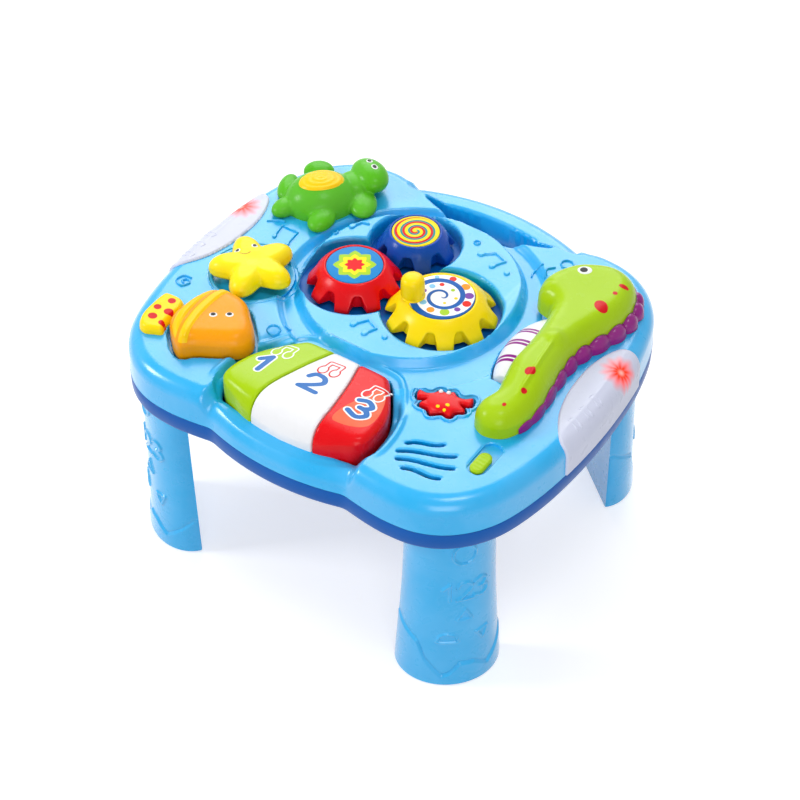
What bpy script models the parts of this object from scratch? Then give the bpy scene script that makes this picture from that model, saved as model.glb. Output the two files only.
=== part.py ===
"""Musical activity table: a light blue moulded table top on four push-in legs.

The top holds three meshing gears turned by a crank knob, three hinged music keys, a turtle, a fish
and a crab that press down, a star that turns, a seahorse with a rolling belly drum, a slide switch,
two milky side windows with lamps, and a carrying handle. The dark blue base under it holds the
batteries, the circuit boards and the leg sockets.

Metres, +Z up, the floor at Z = 0, the keys towards -Y and the handle towards +Y.
"""

import math

import bmesh
import bpy
import numpy as np
from mathutils import Matrix, Vector

# Casing outline, seen from above
HALF_WIDTH = 0.1365
FRONT_REACH = 0.1235
REAR_REACH = 0.1235
LOBE_REACH = 0.1160
LOBE_MIDDLE_Y = -0.0040
# What the pieces on the deck take their sizes from
DECK_SIZE = (HALF_WIDTH + LOBE_REACH) / 2
FRONT_NOTCH_X = 0.3245 * HALF_WIDTH
REAR_NOTCH_X = 0.4505 * HALF_WIDTH
# Across and along shares of a corner lobe, from beside a notch to the middle of a side
LOBE_SHARES = (
    (0.418, 0.991), (0.530, 1.000), (0.655, 0.983), (0.765, 0.923),
    (0.857, 0.817), (0.922, 0.674), (0.970, 0.450), (0.993, 0.220),
)
FRONT_NOTCH_SHARE = 0.974
REAR_NOTCH_SHARE = 0.981
BOW_STEPS = 4
OUTLINE_STEPS = 2
INNER_OUTLINE_STEPS = 1

# Casing heights
DECK_Z = 0.1500
CASING_DEPTH = 0.0340
BAND_HEIGHT = 0.0120
UNDERSIDE_Z = DECK_Z - CASING_DEPTH
SEAM_Z = UNDERSIDE_Z + BAND_HEIGHT
PLATFORM_RISE = 0.0025
PLATFORM_Z = DECK_Z + PLATFORM_RISE
CHANNEL_DEPTH = 0.0040
CHANNEL_Z = DECK_Z - CHANNEL_DEPTH
HANDLE_DEPTH = 0.0050
HANDLE_Z = DECK_Z - HANDLE_DEPTH
WALL = 0.0025
GAP = 0.0003
OVERRUN = 0.0100
SHOULDER_RADIUS = 0.0095
SHOULDER_STEPS = 3
INNER_SHOULDER_STEPS = 2
WALL_DRAFT = 0.0006
BAND_ROUND = 0.0022

# Raised platform for the gears and the channel round it
PLATFORM_X = -0.0440 * HALF_WIDTH
PLATFORM_Y = 0.2026 * LOBE_REACH
PLATFORM_RADIUS = 0.5069 * DECK_SIZE
PLATFORM_SLOPE = 0.0040
CHANNEL_X = 0.0000
CHANNEL_Y = 0.1509 * LOBE_REACH
CHANNEL_RADIUS = 0.6099 * DECK_SIZE
CHANNEL_SLOPE = 0.0035

# Sides of round pieces, from the widest to the thinnest
ROUND_SIDES = 24
WELL_SIDES = 24
PATCH_SIDES = 16
KNOB_SIDES = 12
STEM_SIDES = 10
SCREW_SIDES = 8
POLE_SHARE = 0.03

# Gears: teeth, tip radius, root radius, printed disc radius, axis place and well radius
YELLOW_TEETH, RED_TEETH, BLUE_TEETH = 10, 9, 7
YELLOW_TIP = 0.2574 * DECK_SIZE
RED_TIP = 0.2226 * DECK_SIZE
BLUE_TIP = 0.1885 * DECK_SIZE
YELLOW_ROOT = 0.2044 * DECK_SIZE
RED_ROOT = 0.1687 * DECK_SIZE
BLUE_ROOT = 0.1362 * DECK_SIZE
YELLOW_DISC = 0.1505 * DECK_SIZE
RED_DISC = 0.1299 * DECK_SIZE
BLUE_DISC = 0.1117 * DECK_SIZE
YELLOW_X = PLATFORM_X + 0.2075 * DECK_SIZE
YELLOW_Y = PLATFORM_Y - 0.0665 * DECK_SIZE
RED_X = PLATFORM_X - 0.2424 * DECK_SIZE
RED_Y = PLATFORM_Y - 0.1014 * DECK_SIZE
BLUE_X = PLATFORM_X - 0.1442 * DECK_SIZE
BLUE_Y = PLATFORM_Y + 0.2550 * DECK_SIZE
YELLOW_WELL = 0.2756 * DECK_SIZE
RED_WELL = 0.2590 * DECK_SIZE
BLUE_WELL = 0.2154 * DECK_SIZE
MIDDLE_WELL = 0.0713 * DECK_SIZE
RED_TURN = math.radians(8.0)
GEAR_TOP_RISE = 0.0090
GEAR_TOP_Z = DECK_Z + GEAR_TOP_RISE
GEAR_FOOT_DEPTH = 0.0044
GEAR_FOOT_Z = DECK_Z - GEAR_FOOT_DEPTH
TOOTH_POINTS = 5
TOOTH_SWING_SHARE = 0.95
# Up the gear's side: share of its height, of the tip's reach and of the gap's depth beyond the crown
GEAR_LEVEL_SHARES = ((0.0, 1.0, 1.0), (0.55, 0.97, 0.80), (0.88, 0.86, 0.30))
GEAR_RIM = 0.0016
GEAR_SKIN = 0.0030
SKIRT_SHARE = 0.40
PLATE_DEPTH = 0.0076
PLATE_Z = DECK_Z - PLATE_DEPTH
PLATE_THICKNESS = 0.0024
POST_RADIUS = 0.0040
POST_TOP_RISE = 0.0019
POST_TOP_Z = DECK_Z + POST_TOP_RISE
HUB_RADIUS = 0.0068
DISC_THICKNESS = 0.0013
DISC_PROUD = 0.0003
DISC_SEAT_Z = GEAR_TOP_Z + DISC_PROUD - DISC_THICKNESS - GAP
SCREW_HEAD_RADIUS = 0.0052
SCREW_HEAD_HEIGHT = 0.0022
# Shares of radius and height up a turned piece
SCREW_HEAD_SHARES = ((1.0, 0.0), (1.0, 0.5), (0.5, 1.0))
FLAT_HEAD_SHARES = ((0.6, 0.0), (1.0, 0.5), (1.0, 1.0))
SCREW_SHANK_RADIUS = 0.0013
GEAR_SCREW_DEPTH = 0.0080
KNOB_RADIUS = 0.0070
KNOB_HEIGHT = 0.0120
KNOB_SHARES = ((1.0, 0.0), (0.95, 0.70), (0.84, 0.87), (0.55, 0.97), (0.20, 1.0))
KNOB_CRANK = 0.1347 * DECK_SIZE
KNOB_TURN = math.radians(212.0)
KNOB_PEG_RADIUS = 0.0030
KNOB_PEG_DEPTH = 0.0040

# Keyboard
KEYS_REAR_Y = -0.4121 * LOBE_REACH
KEYS_FRONT_Y = -0.9733 * LOBE_REACH
KEYS_HALF_WIDTH = 0.3480 * HALF_WIDTH
# Half outline of the three keys together, from the rear middle to the front middle
KEYS_SHARES = (
    (0.00, 0.000), (0.25, 0.000), (0.52, 0.003), (0.62, 0.050), (0.76, 0.187), (0.885, 0.333),
    (0.965, 0.480), (1.00, 0.648), (0.99, 0.786), (0.91, 0.860), (0.74, 0.912), (0.52, 0.965),
    (0.26, 0.990), (0.00, 1.000),
)
# Half width of the middle key along its length
MIDDLE_KEY_SHARES = (
    (-0.06, 0.185), (0.05, 0.192), (0.30, 0.290), (0.62, 0.385), (0.80, 0.415), (1.06, 0.430),
)
KEYS_CREST_RISE = 0.0080
KEYS_CREST_Z = DECK_Z + KEYS_CREST_RISE
KEYS_LIP_DEPTH = 0.0085
KEYS_LIP_Z = DECK_Z - KEYS_LIP_DEPTH
KEYS_FOOT_DEPTH = 0.0120
KEYS_FOOT_Z = DECK_Z - KEYS_FOOT_DEPTH
# Top of the keys along their length, from the rear end to the front end
KEYS_CREST_SHARES = (
    (-0.06, 0.585), (0.0, 0.60), (0.35, 0.80), (0.68, 0.985), (0.80, 1.0), (0.88, 0.92), (0.95, 0.70),
    (1.0, 0.36), (1.06, 0.0),
)
KEY_ROUND = 0.0040
KEY_SLIT = 0.0008
KEY_ROOM = 0.0018
KEY_STEM_RADIUS = 0.0025
KEY_STEM_Y = -0.7414 * LOBE_REACH
KEY_STEM_SPREAD = 0.2271 * HALF_WIDTH
KEY_HINGE_STEP = 0.0042
KEY_HINGE_Y = KEYS_REAR_Y - KEY_HINGE_STEP
KEY_HINGE_DEPTH = 0.0085
KEY_HINGE_Z = DECK_Z - KEY_HINGE_DEPTH
KEY_ROD_RADIUS = 0.0011
KEY_ROD_HALF = 0.2359 * HALF_WIDTH
KEY_BOARD_DEPTH = 0.0194
KEY_BOARD_Z = DECK_Z - KEY_BOARD_DEPTH
KEY_BOARD_HALF_X = 0.2930 * HALF_WIDTH
KEY_BOARD_HALF_Y = 0.0130
BOARD_THICKNESS = 0.0016
DOME_RADIUS = 0.0045
DOME_HEIGHT = 0.0040
DOME_SHARES = ((1.0, 0.0), (0.8, 0.6), (0.5, 1.0))
SCOOP_HALF_WIDTH = 0.3385 * HALF_WIDTH
SCOOP_REAR_Y = -0.3448 * LOBE_REACH
SCOOP_FRONT_Y = -1.0776 * LOBE_REACH
SCOOP_FLOOR_DEPTH = 0.0100
SCOOP_FLOOR_Z = DECK_Z - SCOOP_FLOOR_DEPTH
# Floor of the sloping keyboard bay along its length, from its rear end to past the front
SCOOP_SHARES = ((0.0, 1.10), (0.30, 0.75), (0.75, 0.35), (1.0, 0.0), (1.25, -0.55))
BAY_WALL_DEPTH = 0.0140
BAY_WALL_Z = DECK_Z - BAY_WALL_DEPTH

# Turtle
TURTLE_X = -0.6813 * HALF_WIDTH
TURTLE_Y = 0.4871 * LOBE_REACH
TURTLE_HALF_WIDTH = 0.1465 * DECK_SIZE
TURTLE_HALF_LENGTH = 0.1663 * DECK_SIZE
TURTLE_HEIGHT = 0.0150
TURTLE_FOOT_RISE = 0.0023
TURTLE_FOOT_Z = DECK_Z + TURTLE_FOOT_RISE
HEAD_X = TURTLE_X + 0.1307 * DECK_SIZE
HEAD_Y = TURTLE_Y + 0.2178 * DECK_SIZE
HEAD_RISE = 0.0105
HEAD_Z = DECK_Z + HEAD_RISE
HEAD_LENGTH = 0.1228 * DECK_SIZE
HEAD_WIDTH = 0.0871 * DECK_SIZE
HEAD_HEIGHT = 0.0085
HEAD_TURN = math.radians(-30.0)
FLIPPER_HEIGHT = 0.0042
# Each flipper: place from the body's middle, half length, half width, in body half lengths, and turn
FLIPPER_SHARES = (
    (1.10, 0.45, 0.60, 0.42, -0.85),
    (0.58, -0.80, 0.50, 0.36, -1.45),
    (-0.62, -0.92, 0.43, 0.31, -1.75),
    (-1.10, -0.14, 0.53, 0.28, -1.20),
    (-0.80, 0.98, 0.42, 0.40, 0.60),
)
SHELL_PATCH_HALF_X = 0.0887 * DECK_SIZE
SHELL_PATCH_HALF_Y = 0.1125 * DECK_SIZE
SHELL_PATCH_RISE = 0.0140
SHELL_PATCH_Z = DECK_Z + SHELL_PATCH_RISE
SHELL_PATCH_PROUD = 0.0005

# Press buttons and their stems
STEM_RADIUS = 0.0070
STEM_FOOT_DEPTH = 0.0148
STEM_FOOT_Z = DECK_Z - STEM_FOOT_DEPTH
BUTTON_LIFT = 0.0023

# Star
STAR_X = -0.6410 * HALF_WIDTH
STAR_Y = -0.1638 * LOBE_REACH
STAR_RADIUS = 0.2075 * DECK_SIZE
STAR_VALLEY = 0.1307 * DECK_SIZE
STAR_TURN = math.radians(-2.0)
STAR_FOOT_RISE = 0.0006
STAR_FOOT_Z = DECK_Z + STAR_FOOT_RISE
STAR_TOP_RISE = 0.0092
STAR_TOP_Z = DECK_Z + STAR_TOP_RISE
STAR_ARMS = 5
STAR_ARM_POINTS = 6
STAR_ARM_POWER = 0.8
# Shares of the outline's size and of the height, from the foot up
STAR_SHARES = ((0.90, 0.0), (1.00, 0.30), (0.96, 0.62), (0.82, 0.88), (0.45, 1.0))
STAR_SKIRT_SHARE = 0.8
STAR_BASIN_RADIUS = 0.1861 * DECK_SIZE
STAR_STEM_RADIUS = 0.0060
STAR_SNAP = 0.0008
STAR_STEM_FOOT_DEPTH = 0.0095
STAR_STEM_FOOT_Z = DECK_Z - STAR_STEM_FOOT_DEPTH
BASIN_DEPTH = 0.0035
BASIN_Z = DECK_Z - BASIN_DEPTH

# Fish
FISH_X = -0.5421 * HALF_WIDTH
FISH_Y = -0.6293 * LOBE_REACH
FISH_SIZE = 0.2059 * DECK_SIZE
FISH_TOP_RISE = 0.0130
FISH_TOP_Z = DECK_Z + FISH_TOP_RISE
FISH_INSET_SHARE, FISH_EDGE_SHARE = 0.34, 0.40
FISH_SHARES = (
    (-0.50, 0.94), (-0.12, 0.99), (0.22, 0.90), (0.56, 0.60), (0.84, 0.32), (0.96, 0.04), (0.86, -0.26),
    (0.54, -0.48), (0.10, -0.74), (-0.14, -0.96), (-0.38, -0.90), (-0.62, -0.70), (-0.86, -0.44),
    (-0.92, -0.08), (-0.86, 0.32), (-0.74, 0.68),
)
TAIL_FOOT_RISE = 0.0003
TAIL_FOOT_Z = DECK_Z + TAIL_FOOT_RISE
TAIL_TOP_RISE = 0.0052
TAIL_TOP_Z = DECK_Z + TAIL_TOP_RISE
TAIL_EDGE_SHARE = 0.45
TAIL_SHARES = (
    (-1.62, 0.30), (-1.40, 0.38), (-1.12, 0.34), (-0.99, 0.10), (-0.99, -0.40), (-0.90, -0.66),
    (-1.06, -0.76), (-1.26, -0.84), (-1.46, -0.76), (-1.60, -0.50), (-1.64, -0.16),
)
POCKET_ROOM = 0.0030

# Crab
CRAB_X = 0.4601 * HALF_WIDTH
CRAB_Y = -0.4207 * LOBE_REACH
CRAB_SIZE = 0.1188 * DECK_SIZE
CRAB_TOP_RISE = 0.0022
CRAB_TOP_Z = DECK_Z + CRAB_TOP_RISE
CRAB_TURN = math.radians(20.0)
CRAB_INSET_SHARE, CRAB_EDGE_SHARE = 0.06, 0.60
CRAB_POCKET_SHARES = (1.12, 0.78)
CRAB_SHARES = (
    (-0.62, 0.08), (-0.98, 0.10), (-1.00, 0.46), (-0.70, 0.36), (-0.42, 0.42), (-0.24, 0.62), (0.02, 0.50),
    (0.26, 0.62), (0.44, 0.42), (0.72, 0.36), (1.00, 0.46), (0.98, 0.10), (0.62, 0.08), (0.84, -0.24),
    (0.50, -0.38), (0.36, -0.62), (0.08, -0.50), (-0.22, -0.60), (-0.36, -0.62), (-0.50, -0.38),
    (-0.84, -0.24),
)

# Seahorse, its back ridge and its rolling belly
SEAHORSE_X = 0.6886 * HALF_WIDTH
SEAHORSE_Y = 0.1293 * LOBE_REACH
SEAHORSE_SIZE = 0.5861 * DECK_SIZE
SEAHORSE_FOOT_RISE = 0.0003
SEAHORSE_FOOT_Z = DECK_Z + SEAHORSE_FOOT_RISE
SEAHORSE_TOP_RISE = 0.0190
SEAHORSE_TOP_Z = DECK_Z + SEAHORSE_TOP_RISE
SEAHORSE_INSET_SHARE, SEAHORSE_EDGE_SHARE = 0.10, 0.30
SEAHORSE_SHARES = (
    (-0.09, 0.97), (-0.28, 0.87), (-0.38, 0.74), (-0.43, 0.60), (-0.42, 0.48), (-0.36, 0.39), (-0.24, 0.34),
    (-0.20, 0.22), (-0.18, 0.08), (-0.17, -0.12), (-0.17, -0.34), (-0.13, -0.54), (-0.11, -0.66),
    (-0.15, -0.80), (-0.12, -0.92), (-0.02, -0.98), (0.10, -0.95), (0.17, -0.87), (0.21, -0.74),
    (0.215, -0.55), (0.18, -0.32), (0.155, -0.12), (0.155, 0.06), (0.20, 0.24), (0.26, 0.44), (0.285, 0.62),
    (0.26, 0.78), (0.19, 0.90), (0.06, 0.97),
)
RIDGE_TOP_RISE = 0.0085
RIDGE_TOP_Z = DECK_Z + RIDGE_TOP_RISE
# Ridge width along the back, from the head down to the tail
RIDGE_WIDTH = 0.0673 * DECK_SIZE
RIDGE_START_SHARE, RIDGE_END_SHARE = 0.60, 0.97
RIDGE_POINTS = 45
RIDGE_SCALLOPS = 11
RIDGE_SCALLOP_SHARE = 0.24
RIDGE_TAPER_SHARE, RIDGE_END_WIDTH_SHARE = 0.55, 0.25
DRUM_X = SEAHORSE_X - 0.0903 * DECK_SIZE
DRUM_Y = SEAHORSE_Y - 0.0238 * DECK_SIZE
DRUM_DEPTH = 0.0050
DRUM_Z = DECK_Z - DRUM_DEPTH
DRUM_RADIUS = 0.1347 * DECK_SIZE
DRUM_LENGTH = 0.4436 * DECK_SIZE
DRUM_END_RADIUS = 0.0729 * DECK_SIZE
DRUM_ROOM = 0.0018
DRUM_PIN_RADIUS = 0.0015
DRUM_SIDES = 16
DRUM_STEPS = 4

# Side windows with their lamps
WINDOW_PROUD = 0.0015
WINDOW_THICKNESS = 0.0022
WINDOW_INNER_X = 0.8315 * HALF_WIDTH
WINDOW_FRONT_Y = -0.3491 * LOBE_REACH
WINDOW_REAR_Y = 0.3793 * LOBE_REACH
WINDOW_SHARES = (
    (1.35, 0.015), (0.90, 0.010), (0.66, 0.030), (0.42, 0.120), (0.20, 0.240), (0.05, 0.400), (0.00, 0.560),
    (0.02, 0.720), (0.14, 0.860), (0.34, 0.965), (0.62, 1.000), (0.85, 0.985), (1.35, 0.900),
)
LAMP_X = 0.8974 * HALF_WIDTH
LAMP_Y = 0.1897 * LOBE_REACH
LAMP_RADIUS = 0.0025
LAMP_HEIGHT = 0.0076
LAMP_SHARES = ((1.0, 0.0), (1.0, 0.7), (0.75, 0.9), (0.3, 1.0))
LAMP_TOP_DEPTH = 0.0080
LAMP_TOP_Z = DECK_Z - LAMP_TOP_DEPTH

# Slide switch
SWITCH_X = 0.7546 * HALF_WIDTH
SWITCH_Y = -0.6121 * LOBE_REACH
SWITCH_HALF_X, SWITCH_HALF_Y = 0.0055, 0.0125
SWITCH_DEPTH = 0.0016
SLIDER_HALF_X, SLIDER_HALF_Y = 0.0040, 0.0078
SLIDER_TRAVEL = 0.0080
SLIDER_STEM_HALF_X, SLIDER_STEM_HALF_Y = 0.0018, 0.0025
SLIDER_START_Y = SWITCH_Y - SLIDER_TRAVEL / 2
SLIDER_PROUD = 0.0012
SLIDER_EDGE_SHARE = 0.60
SWITCH_BODY_DEPTH = 0.0070

# Loudspeaker and its slots
SPEAKER_RADIUS, SPEAKER_DEPTH = 0.0160, 0.0115
SPEAKER_SHARES = ((0.45, 0.0), (0.45, 0.40), (0.90, 0.75), (1.0, 0.80), (1.0, 1.0))
CONE_SHARES = ((0.30, 0.60), (0.99, 1.10))
SPEAKER_SLOTS = 5
SLOT_END_STEPS = 3
SLOT_LENGTH, SLOT_WIDTH, SLOT_PITCH = 0.0250, 0.0023, 0.0062
SLOT_SLANT = math.radians(14.0)

# Carrying handle
GRIP_FRONT_Y, GRIP_REAR_Y, GRIP_HALF_WIDTH = 0.0885, 0.1050, 0.0440
GRIP_END_Y = 0.0985
GRIP_STEPS = 5
GRIP_TIP_SHARE = 0.6
HANDLE_HALF_WIDTH = 0.0580
HANDLE_STEP_Y = 0.1010

# Legs and sockets
LEG_X = 0.6799 * HALF_WIDTH
LEG_Y = 0.7181 * LOBE_REACH
LEG_HALF_WIDTH = 0.2337 * DECK_SIZE
LEG_DEPTH = 0.1980 * DECK_SIZE
LEG_TURN = math.radians(48.5)
LEG_ARC_POINTS = 8
LEG_TAPER_SHARES = ((0.0, 1.0), (0.03, 1.01), (0.28, 0.955), (0.62, 0.880), (1.0, 0.840))
LEG_WALL = 0.0026
PLUG_LENGTH = 0.0150
PLUG_STEP = 0.0045
SOCKET_WALL = 0.0022
LEG_FOOT_THICKNESS = 0.0040

# Battery box, its door and contacts
BOX_X, BOX_Y = 0.0000, 0.0200
CELL_RADIUS, CELL_LENGTH, CELL_COUNT = 0.0070, 0.0496, 3
CELL_NIB_RADIUS, CELL_NIB_LENGTH = 0.0026, 0.0010
CONTACT_THICKNESS = 0.0005
DOOR_THICKNESS = 0.0020
DOOR_MARGIN = 0.0045
BOX_WALL = 0.0020
DOOR_SCREW_RADIUS = 0.0030
DOOR_SCREW_DEPTH = 0.0090

# Casing screws and the boards inside
POST_X = 0.4249 * HALF_WIDTH
FRONT_POST_Y = -0.5690 * LOBE_REACH
REAR_POST_Y = 0.6897 * LOBE_REACH
# The loudspeaker stands beside the front post, as far across as along
SPEAKER_STEP = 0.0190
SPEAKER_X, SPEAKER_Y = POST_X + SPEAKER_STEP, FRONT_POST_Y - SPEAKER_STEP
CASE_POST_RADIUS = 0.0046
CASE_SCREW_RADIUS, CASE_SCREW_HEAD, CASE_SCREW_LENGTH = 0.0015, 0.0032, 0.0220
CASE_SCREW_SINK = 0.0040
CASE_SCREW_HEAD_HEIGHT = 0.0025
CASE_SCREW_REACH = 0.8 * CASE_SCREW_LENGTH
MAIN_BOARD_X = -0.4762 * HALF_WIDTH
MAIN_BOARD_Y = 0.0100
MAIN_BOARD_HALF_X = 0.1685 * HALF_WIDTH
MAIN_BOARD_HALF_Y = 0.0170
MAIN_BOARD_RISE = 0.0080
MAIN_BOARD_Z = UNDERSIDE_Z + MAIN_BOARD_RISE
SMALL_POST_RADIUS = 0.0030

# Finishes: name, sRGB colour, roughness and metallic share
FINISHES = {
    "light": ("light_blue_abs", "7BCBF4"),
    "dark_blue": ("dark_blue_abs", "0967B3"),
    "royal": ("royal_blue_abs", "1464B4"),
    "yellow": ("yellow_abs", "FDDC1A"),
    "red": ("red_abs", "E50914"),
    "blue": ("blue_abs", "2A4FA5"),
    "green": ("green_abs", "4FB12E"),
    "lime": ("lime_abs", "B4D025"),
    "white": ("white_abs", "F1F1F1"),
    "orange": ("orange_abs", "F7A813"),
    "purple": ("purple_abs", "9C1F7E"),
    "milky": ("milky_pane", "E4E6F4", 0.4),
    "steel": ("zinc_plated_steel", "B9BCC0", 0.35, 1.0),
    "board": ("circuit_board", "1F6B3A", 0.5),
    "rubber": ("silicone_rubber", "D8D4CC", 0.7),
    "dark": ("black_plastic", "26272B", 0.5),
}


def plastic(name, colour, roughness=0.3, metallic=0.0):
    """A Principled material from an sRGB hex colour."""
    material = bpy.data.materials.new(name)
    material.use_nodes = True
    channels = [int(colour[i:i + 2], 16) / 255 for i in (0, 2, 4)]
    linear = [c / 12.92 if c <= 0.04045 else ((c + 0.055) / 1.055) ** 2.4 for c in channels]
    shader = material.node_tree.nodes["Principled BSDF"]
    shader.inputs["Base Color"].default_value = (*linear, 1.0)
    shader.inputs["Roughness"].default_value = roughness
    shader.inputs["Metallic"].default_value = metallic
    material.diffuse_color = (*linear, 1.0)
    return material


def solid(name, points, faces):
    """An object from points and faces, its faces turned outwards."""
    mesh = bpy.data.meshes.new(name)
    mesh.from_pydata([tuple(p) for p in points], [], faces)
    work = bmesh.new()
    work.from_mesh(mesh)
    bmesh.ops.recalc_face_normals(work, faces=work.faces)
    work.to_mesh(mesh)
    work.free()
    obj = bpy.data.objects.new(name, mesh)
    bpy.context.scene.collection.objects.link(obj)
    return obj


def loft(name, rings):
    """A closed skin over rings of equal point counts, capped at both ends."""
    rings = [np.asarray(ring, float) for ring in rings]
    count = len(rings[0])
    faces = [tuple(reversed(range(count)))]
    for step in range(len(rings) - 1):
        low, high = step * count, (step + 1) * count
        for i in range(count):
            j = (i + 1) % count
            faces.append((low + i, low + j, high + j, high + i))
    faces.append(tuple(range((len(rings) - 1) * count, len(rings) * count)))
    return solid(name, np.concatenate(rings), faces)


def at_height(outline, z):
    return np.column_stack([outline, np.full(len(outline), z)])


def prism(name, outline, low, high):
    return loft(name, [at_height(outline, low), at_height(outline, high)])


def circle(x, y, radius, sides=ROUND_SIDES, turn=0.0):
    angles = np.arange(sides) * math.tau / sides + turn
    return np.column_stack([x + radius * np.cos(angles), y + radius * np.sin(angles)])


def box_outline(x, y, half_x, half_y):
    return np.array([(-half_x, -half_y), (half_x, -half_y), (half_x, half_y), (-half_x, half_y)]) + (x, y)


def pill(x, y, half_x, half_y, steps=6):
    """A slot outline along Y with round ends."""
    bend = np.linspace(0.0, math.pi, steps + 1)
    arc = np.column_stack([half_x * np.cos(bend), half_x * np.sin(bend)])
    reach = np.array([0.0, half_y - half_x])
    return np.concatenate([arc + reach, -arc - reach]) + (x, y)


def turned(name, pairs, x, y, sides):
    """A solid of revolution about the upright line at x, y, from radius and height pairs, lowest first."""
    return loft(name, [at_height(circle(x, y, radius, sides), z) for radius, z in pairs])


def profile(shares, radius, low, height):
    """Radius and height pairs of a turned piece, from its shares."""
    return [(radius * across, low + height * up) for across, up in shares]


def pegs(name, places, radius, low, high, sides=STEM_SIDES):
    """Upright round bars of one size, one at each place."""
    return [prism(f"{name}_{i}", circle(x, y, radius, sides), low, high) for i, (x, y) in enumerate(places)]


def spline(points, steps, closed=True):
    """A Catmull-Rom curve through the points, steps samples to each span."""
    points = np.asarray(points, float)
    count = len(points)
    spans = count if closed else count - 1
    index = np.arange(-1, count + 2)
    held = points[index % count] if closed else points[np.clip(index, 0, count - 1)]
    t = np.arange(steps)[:, None] / steps
    parts = []
    for i in range(spans):
        a, b, c, d = held[i:i + 4]
        square = a - 2.5 * b + 2 * c - d / 2
        cube = 1.5 * (b - c) + (d - a) / 2
        parts.append(b + t * (c - a) / 2 + t**2 * square + t**3 * cube)
    if not closed:
        parts.append(points[-1:])
    return np.concatenate(parts)


def grown(outline, distance):
    """The outline with every edge moved outwards by a distance."""
    along = np.roll(outline, -1, 0) - outline
    along /= np.linalg.norm(along, axis=1)[:, None]
    after = np.column_stack([along[:, 1], -along[:, 0]])
    before = np.roll(after, 1, 0)
    corner = (before + after) / (1 + np.sum(before * after, axis=1))[:, None]
    area = np.sum(outline[:, 0] * np.roll(outline[:, 1], -1) - outline[:, 1] * np.roll(outline[:, 0], -1))
    return outline + corner * distance * math.copysign(1.0, area)


def placed(shares, x, y, size, turn=0.0):
    shares = np.asarray(shares, float)
    c, s = math.cos(turn), math.sin(turn)
    return shares @ np.array([(c, s), (-s, c)]) * size + (x, y)


def combine(target, tools, operation="DIFFERENCE"):
    """Cuts or joins the tools one after another, and clears them away."""
    for tool in tools:
        modifier = target.modifiers.new(operation.lower(), "BOOLEAN")
        modifier.operation = operation
        modifier.solver = "EXACT"
        modifier.object = tool
        graph = bpy.context.evaluated_depsgraph_get()
        mesh = bpy.data.meshes.new_from_object(target.evaluated_get(graph))
        target.modifiers.clear()
        target.data = mesh
        bpy.data.objects.remove(tool)
    return target


def cut(target, *tools):
    return combine(target, tools)


def join(target, *tools):
    return combine(target, tools, "UNION")


def common(target, *tools):
    return combine(target, tools, "INTERSECT")


def finish(obj, material, pivot=None, smooth=True):
    """Gives the material, rounds the shading and moves the origin onto the joint's axis."""
    obj.data.materials.clear()
    obj.data.materials.append(material)
    if smooth:
        obj.data.shade_smooth()
        obj.data.set_sharp_from_angle(angle=math.radians(35.0))
    if pivot is not None:
        obj.data.transform(Matrix.Translation(-Vector(pivot)))
        obj.location = pivot
    return obj


def domed(name, outline, foot, top, inset, steps, edge_share):
    """A pillow on an outline: upright to a share of its height, then rounded in over the inset."""
    rings = [at_height(outline, foot)]
    shoulder = foot + (top - foot) * edge_share
    for step in range(steps + 1):
        bend = step / steps * math.pi / 2
        ring = grown(outline, -inset * (1 - math.cos(bend)))
        rings.append(at_height(ring, shoulder + (top - shoulder) * math.sin(bend)))
    return loft(name, rings)


def ellipsoid(name, centre, radii, turn, sides, rows):
    """A turned ellipsoid, its poles up and down and a little flattened."""
    bands = []
    for row in range(rows + 1):
        lean = math.pi * (row / rows - 0.5)
        flat = max(math.cos(lean), POLE_SHARE)
        ring = circle(0.0, 0.0, flat, sides) * radii[:2]
        ring = placed(ring, centre[0], centre[1], 1.0, turn)
        bands.append(at_height(ring, centre[2] + radii[2] * math.sin(lean)))
    return loft(name, bands)


def bow(half_width, edge_y, reach_y, steps):
    """An arc from +half_width to -half_width that reaches reach_y in the middle."""
    rise = reach_y - edge_y
    radius = (half_width**2 + rise**2) / (2 * abs(rise))
    x = half_width * np.cos(np.linspace(0.0, math.pi, 2 * steps + 1))
    drop = radius - np.sqrt(radius**2 - x**2)
    return np.column_stack([x, reach_y - math.copysign(1.0, rise) * drop])


def casing_outline(steps):
    """The seam outline: a bowed front, two lobes a side and the handle's bow, counter-clockwise."""
    lobe = np.asarray(LOBE_SHARES) * (HALF_WIDTH, LOBE_REACH)
    front_notch = np.array([(FRONT_NOTCH_X, FRONT_NOTCH_SHARE * LOBE_REACH)])
    rear_notch = np.array([(REAR_NOTCH_X, REAR_NOTCH_SHARE * LOBE_REACH)])
    front = np.concatenate([front_notch, lobe]) * (1, -1)
    rear = np.concatenate([lobe[1:][::-1], rear_notch])
    side = np.concatenate([front, [(HALF_WIDTH, 0.0)], rear])
    side = spline(side, steps, closed=False) + (0, LOBE_MIDDLE_Y)
    back = bow(REAR_NOTCH_X, side[-1, 1], REAR_REACH, BOW_STEPS)[1:-1]
    nose = bow(FRONT_NOTCH_X, side[0, 1], -FRONT_REACH, BOW_STEPS)[::-1][1:-1]
    return np.concatenate([side, back, side[::-1] * (-1, 1), nose])


OUTLINE = casing_outline(OUTLINE_STEPS)
INNER_OUTLINE = casing_outline(INNER_OUTLINE_STEPS)


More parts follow.
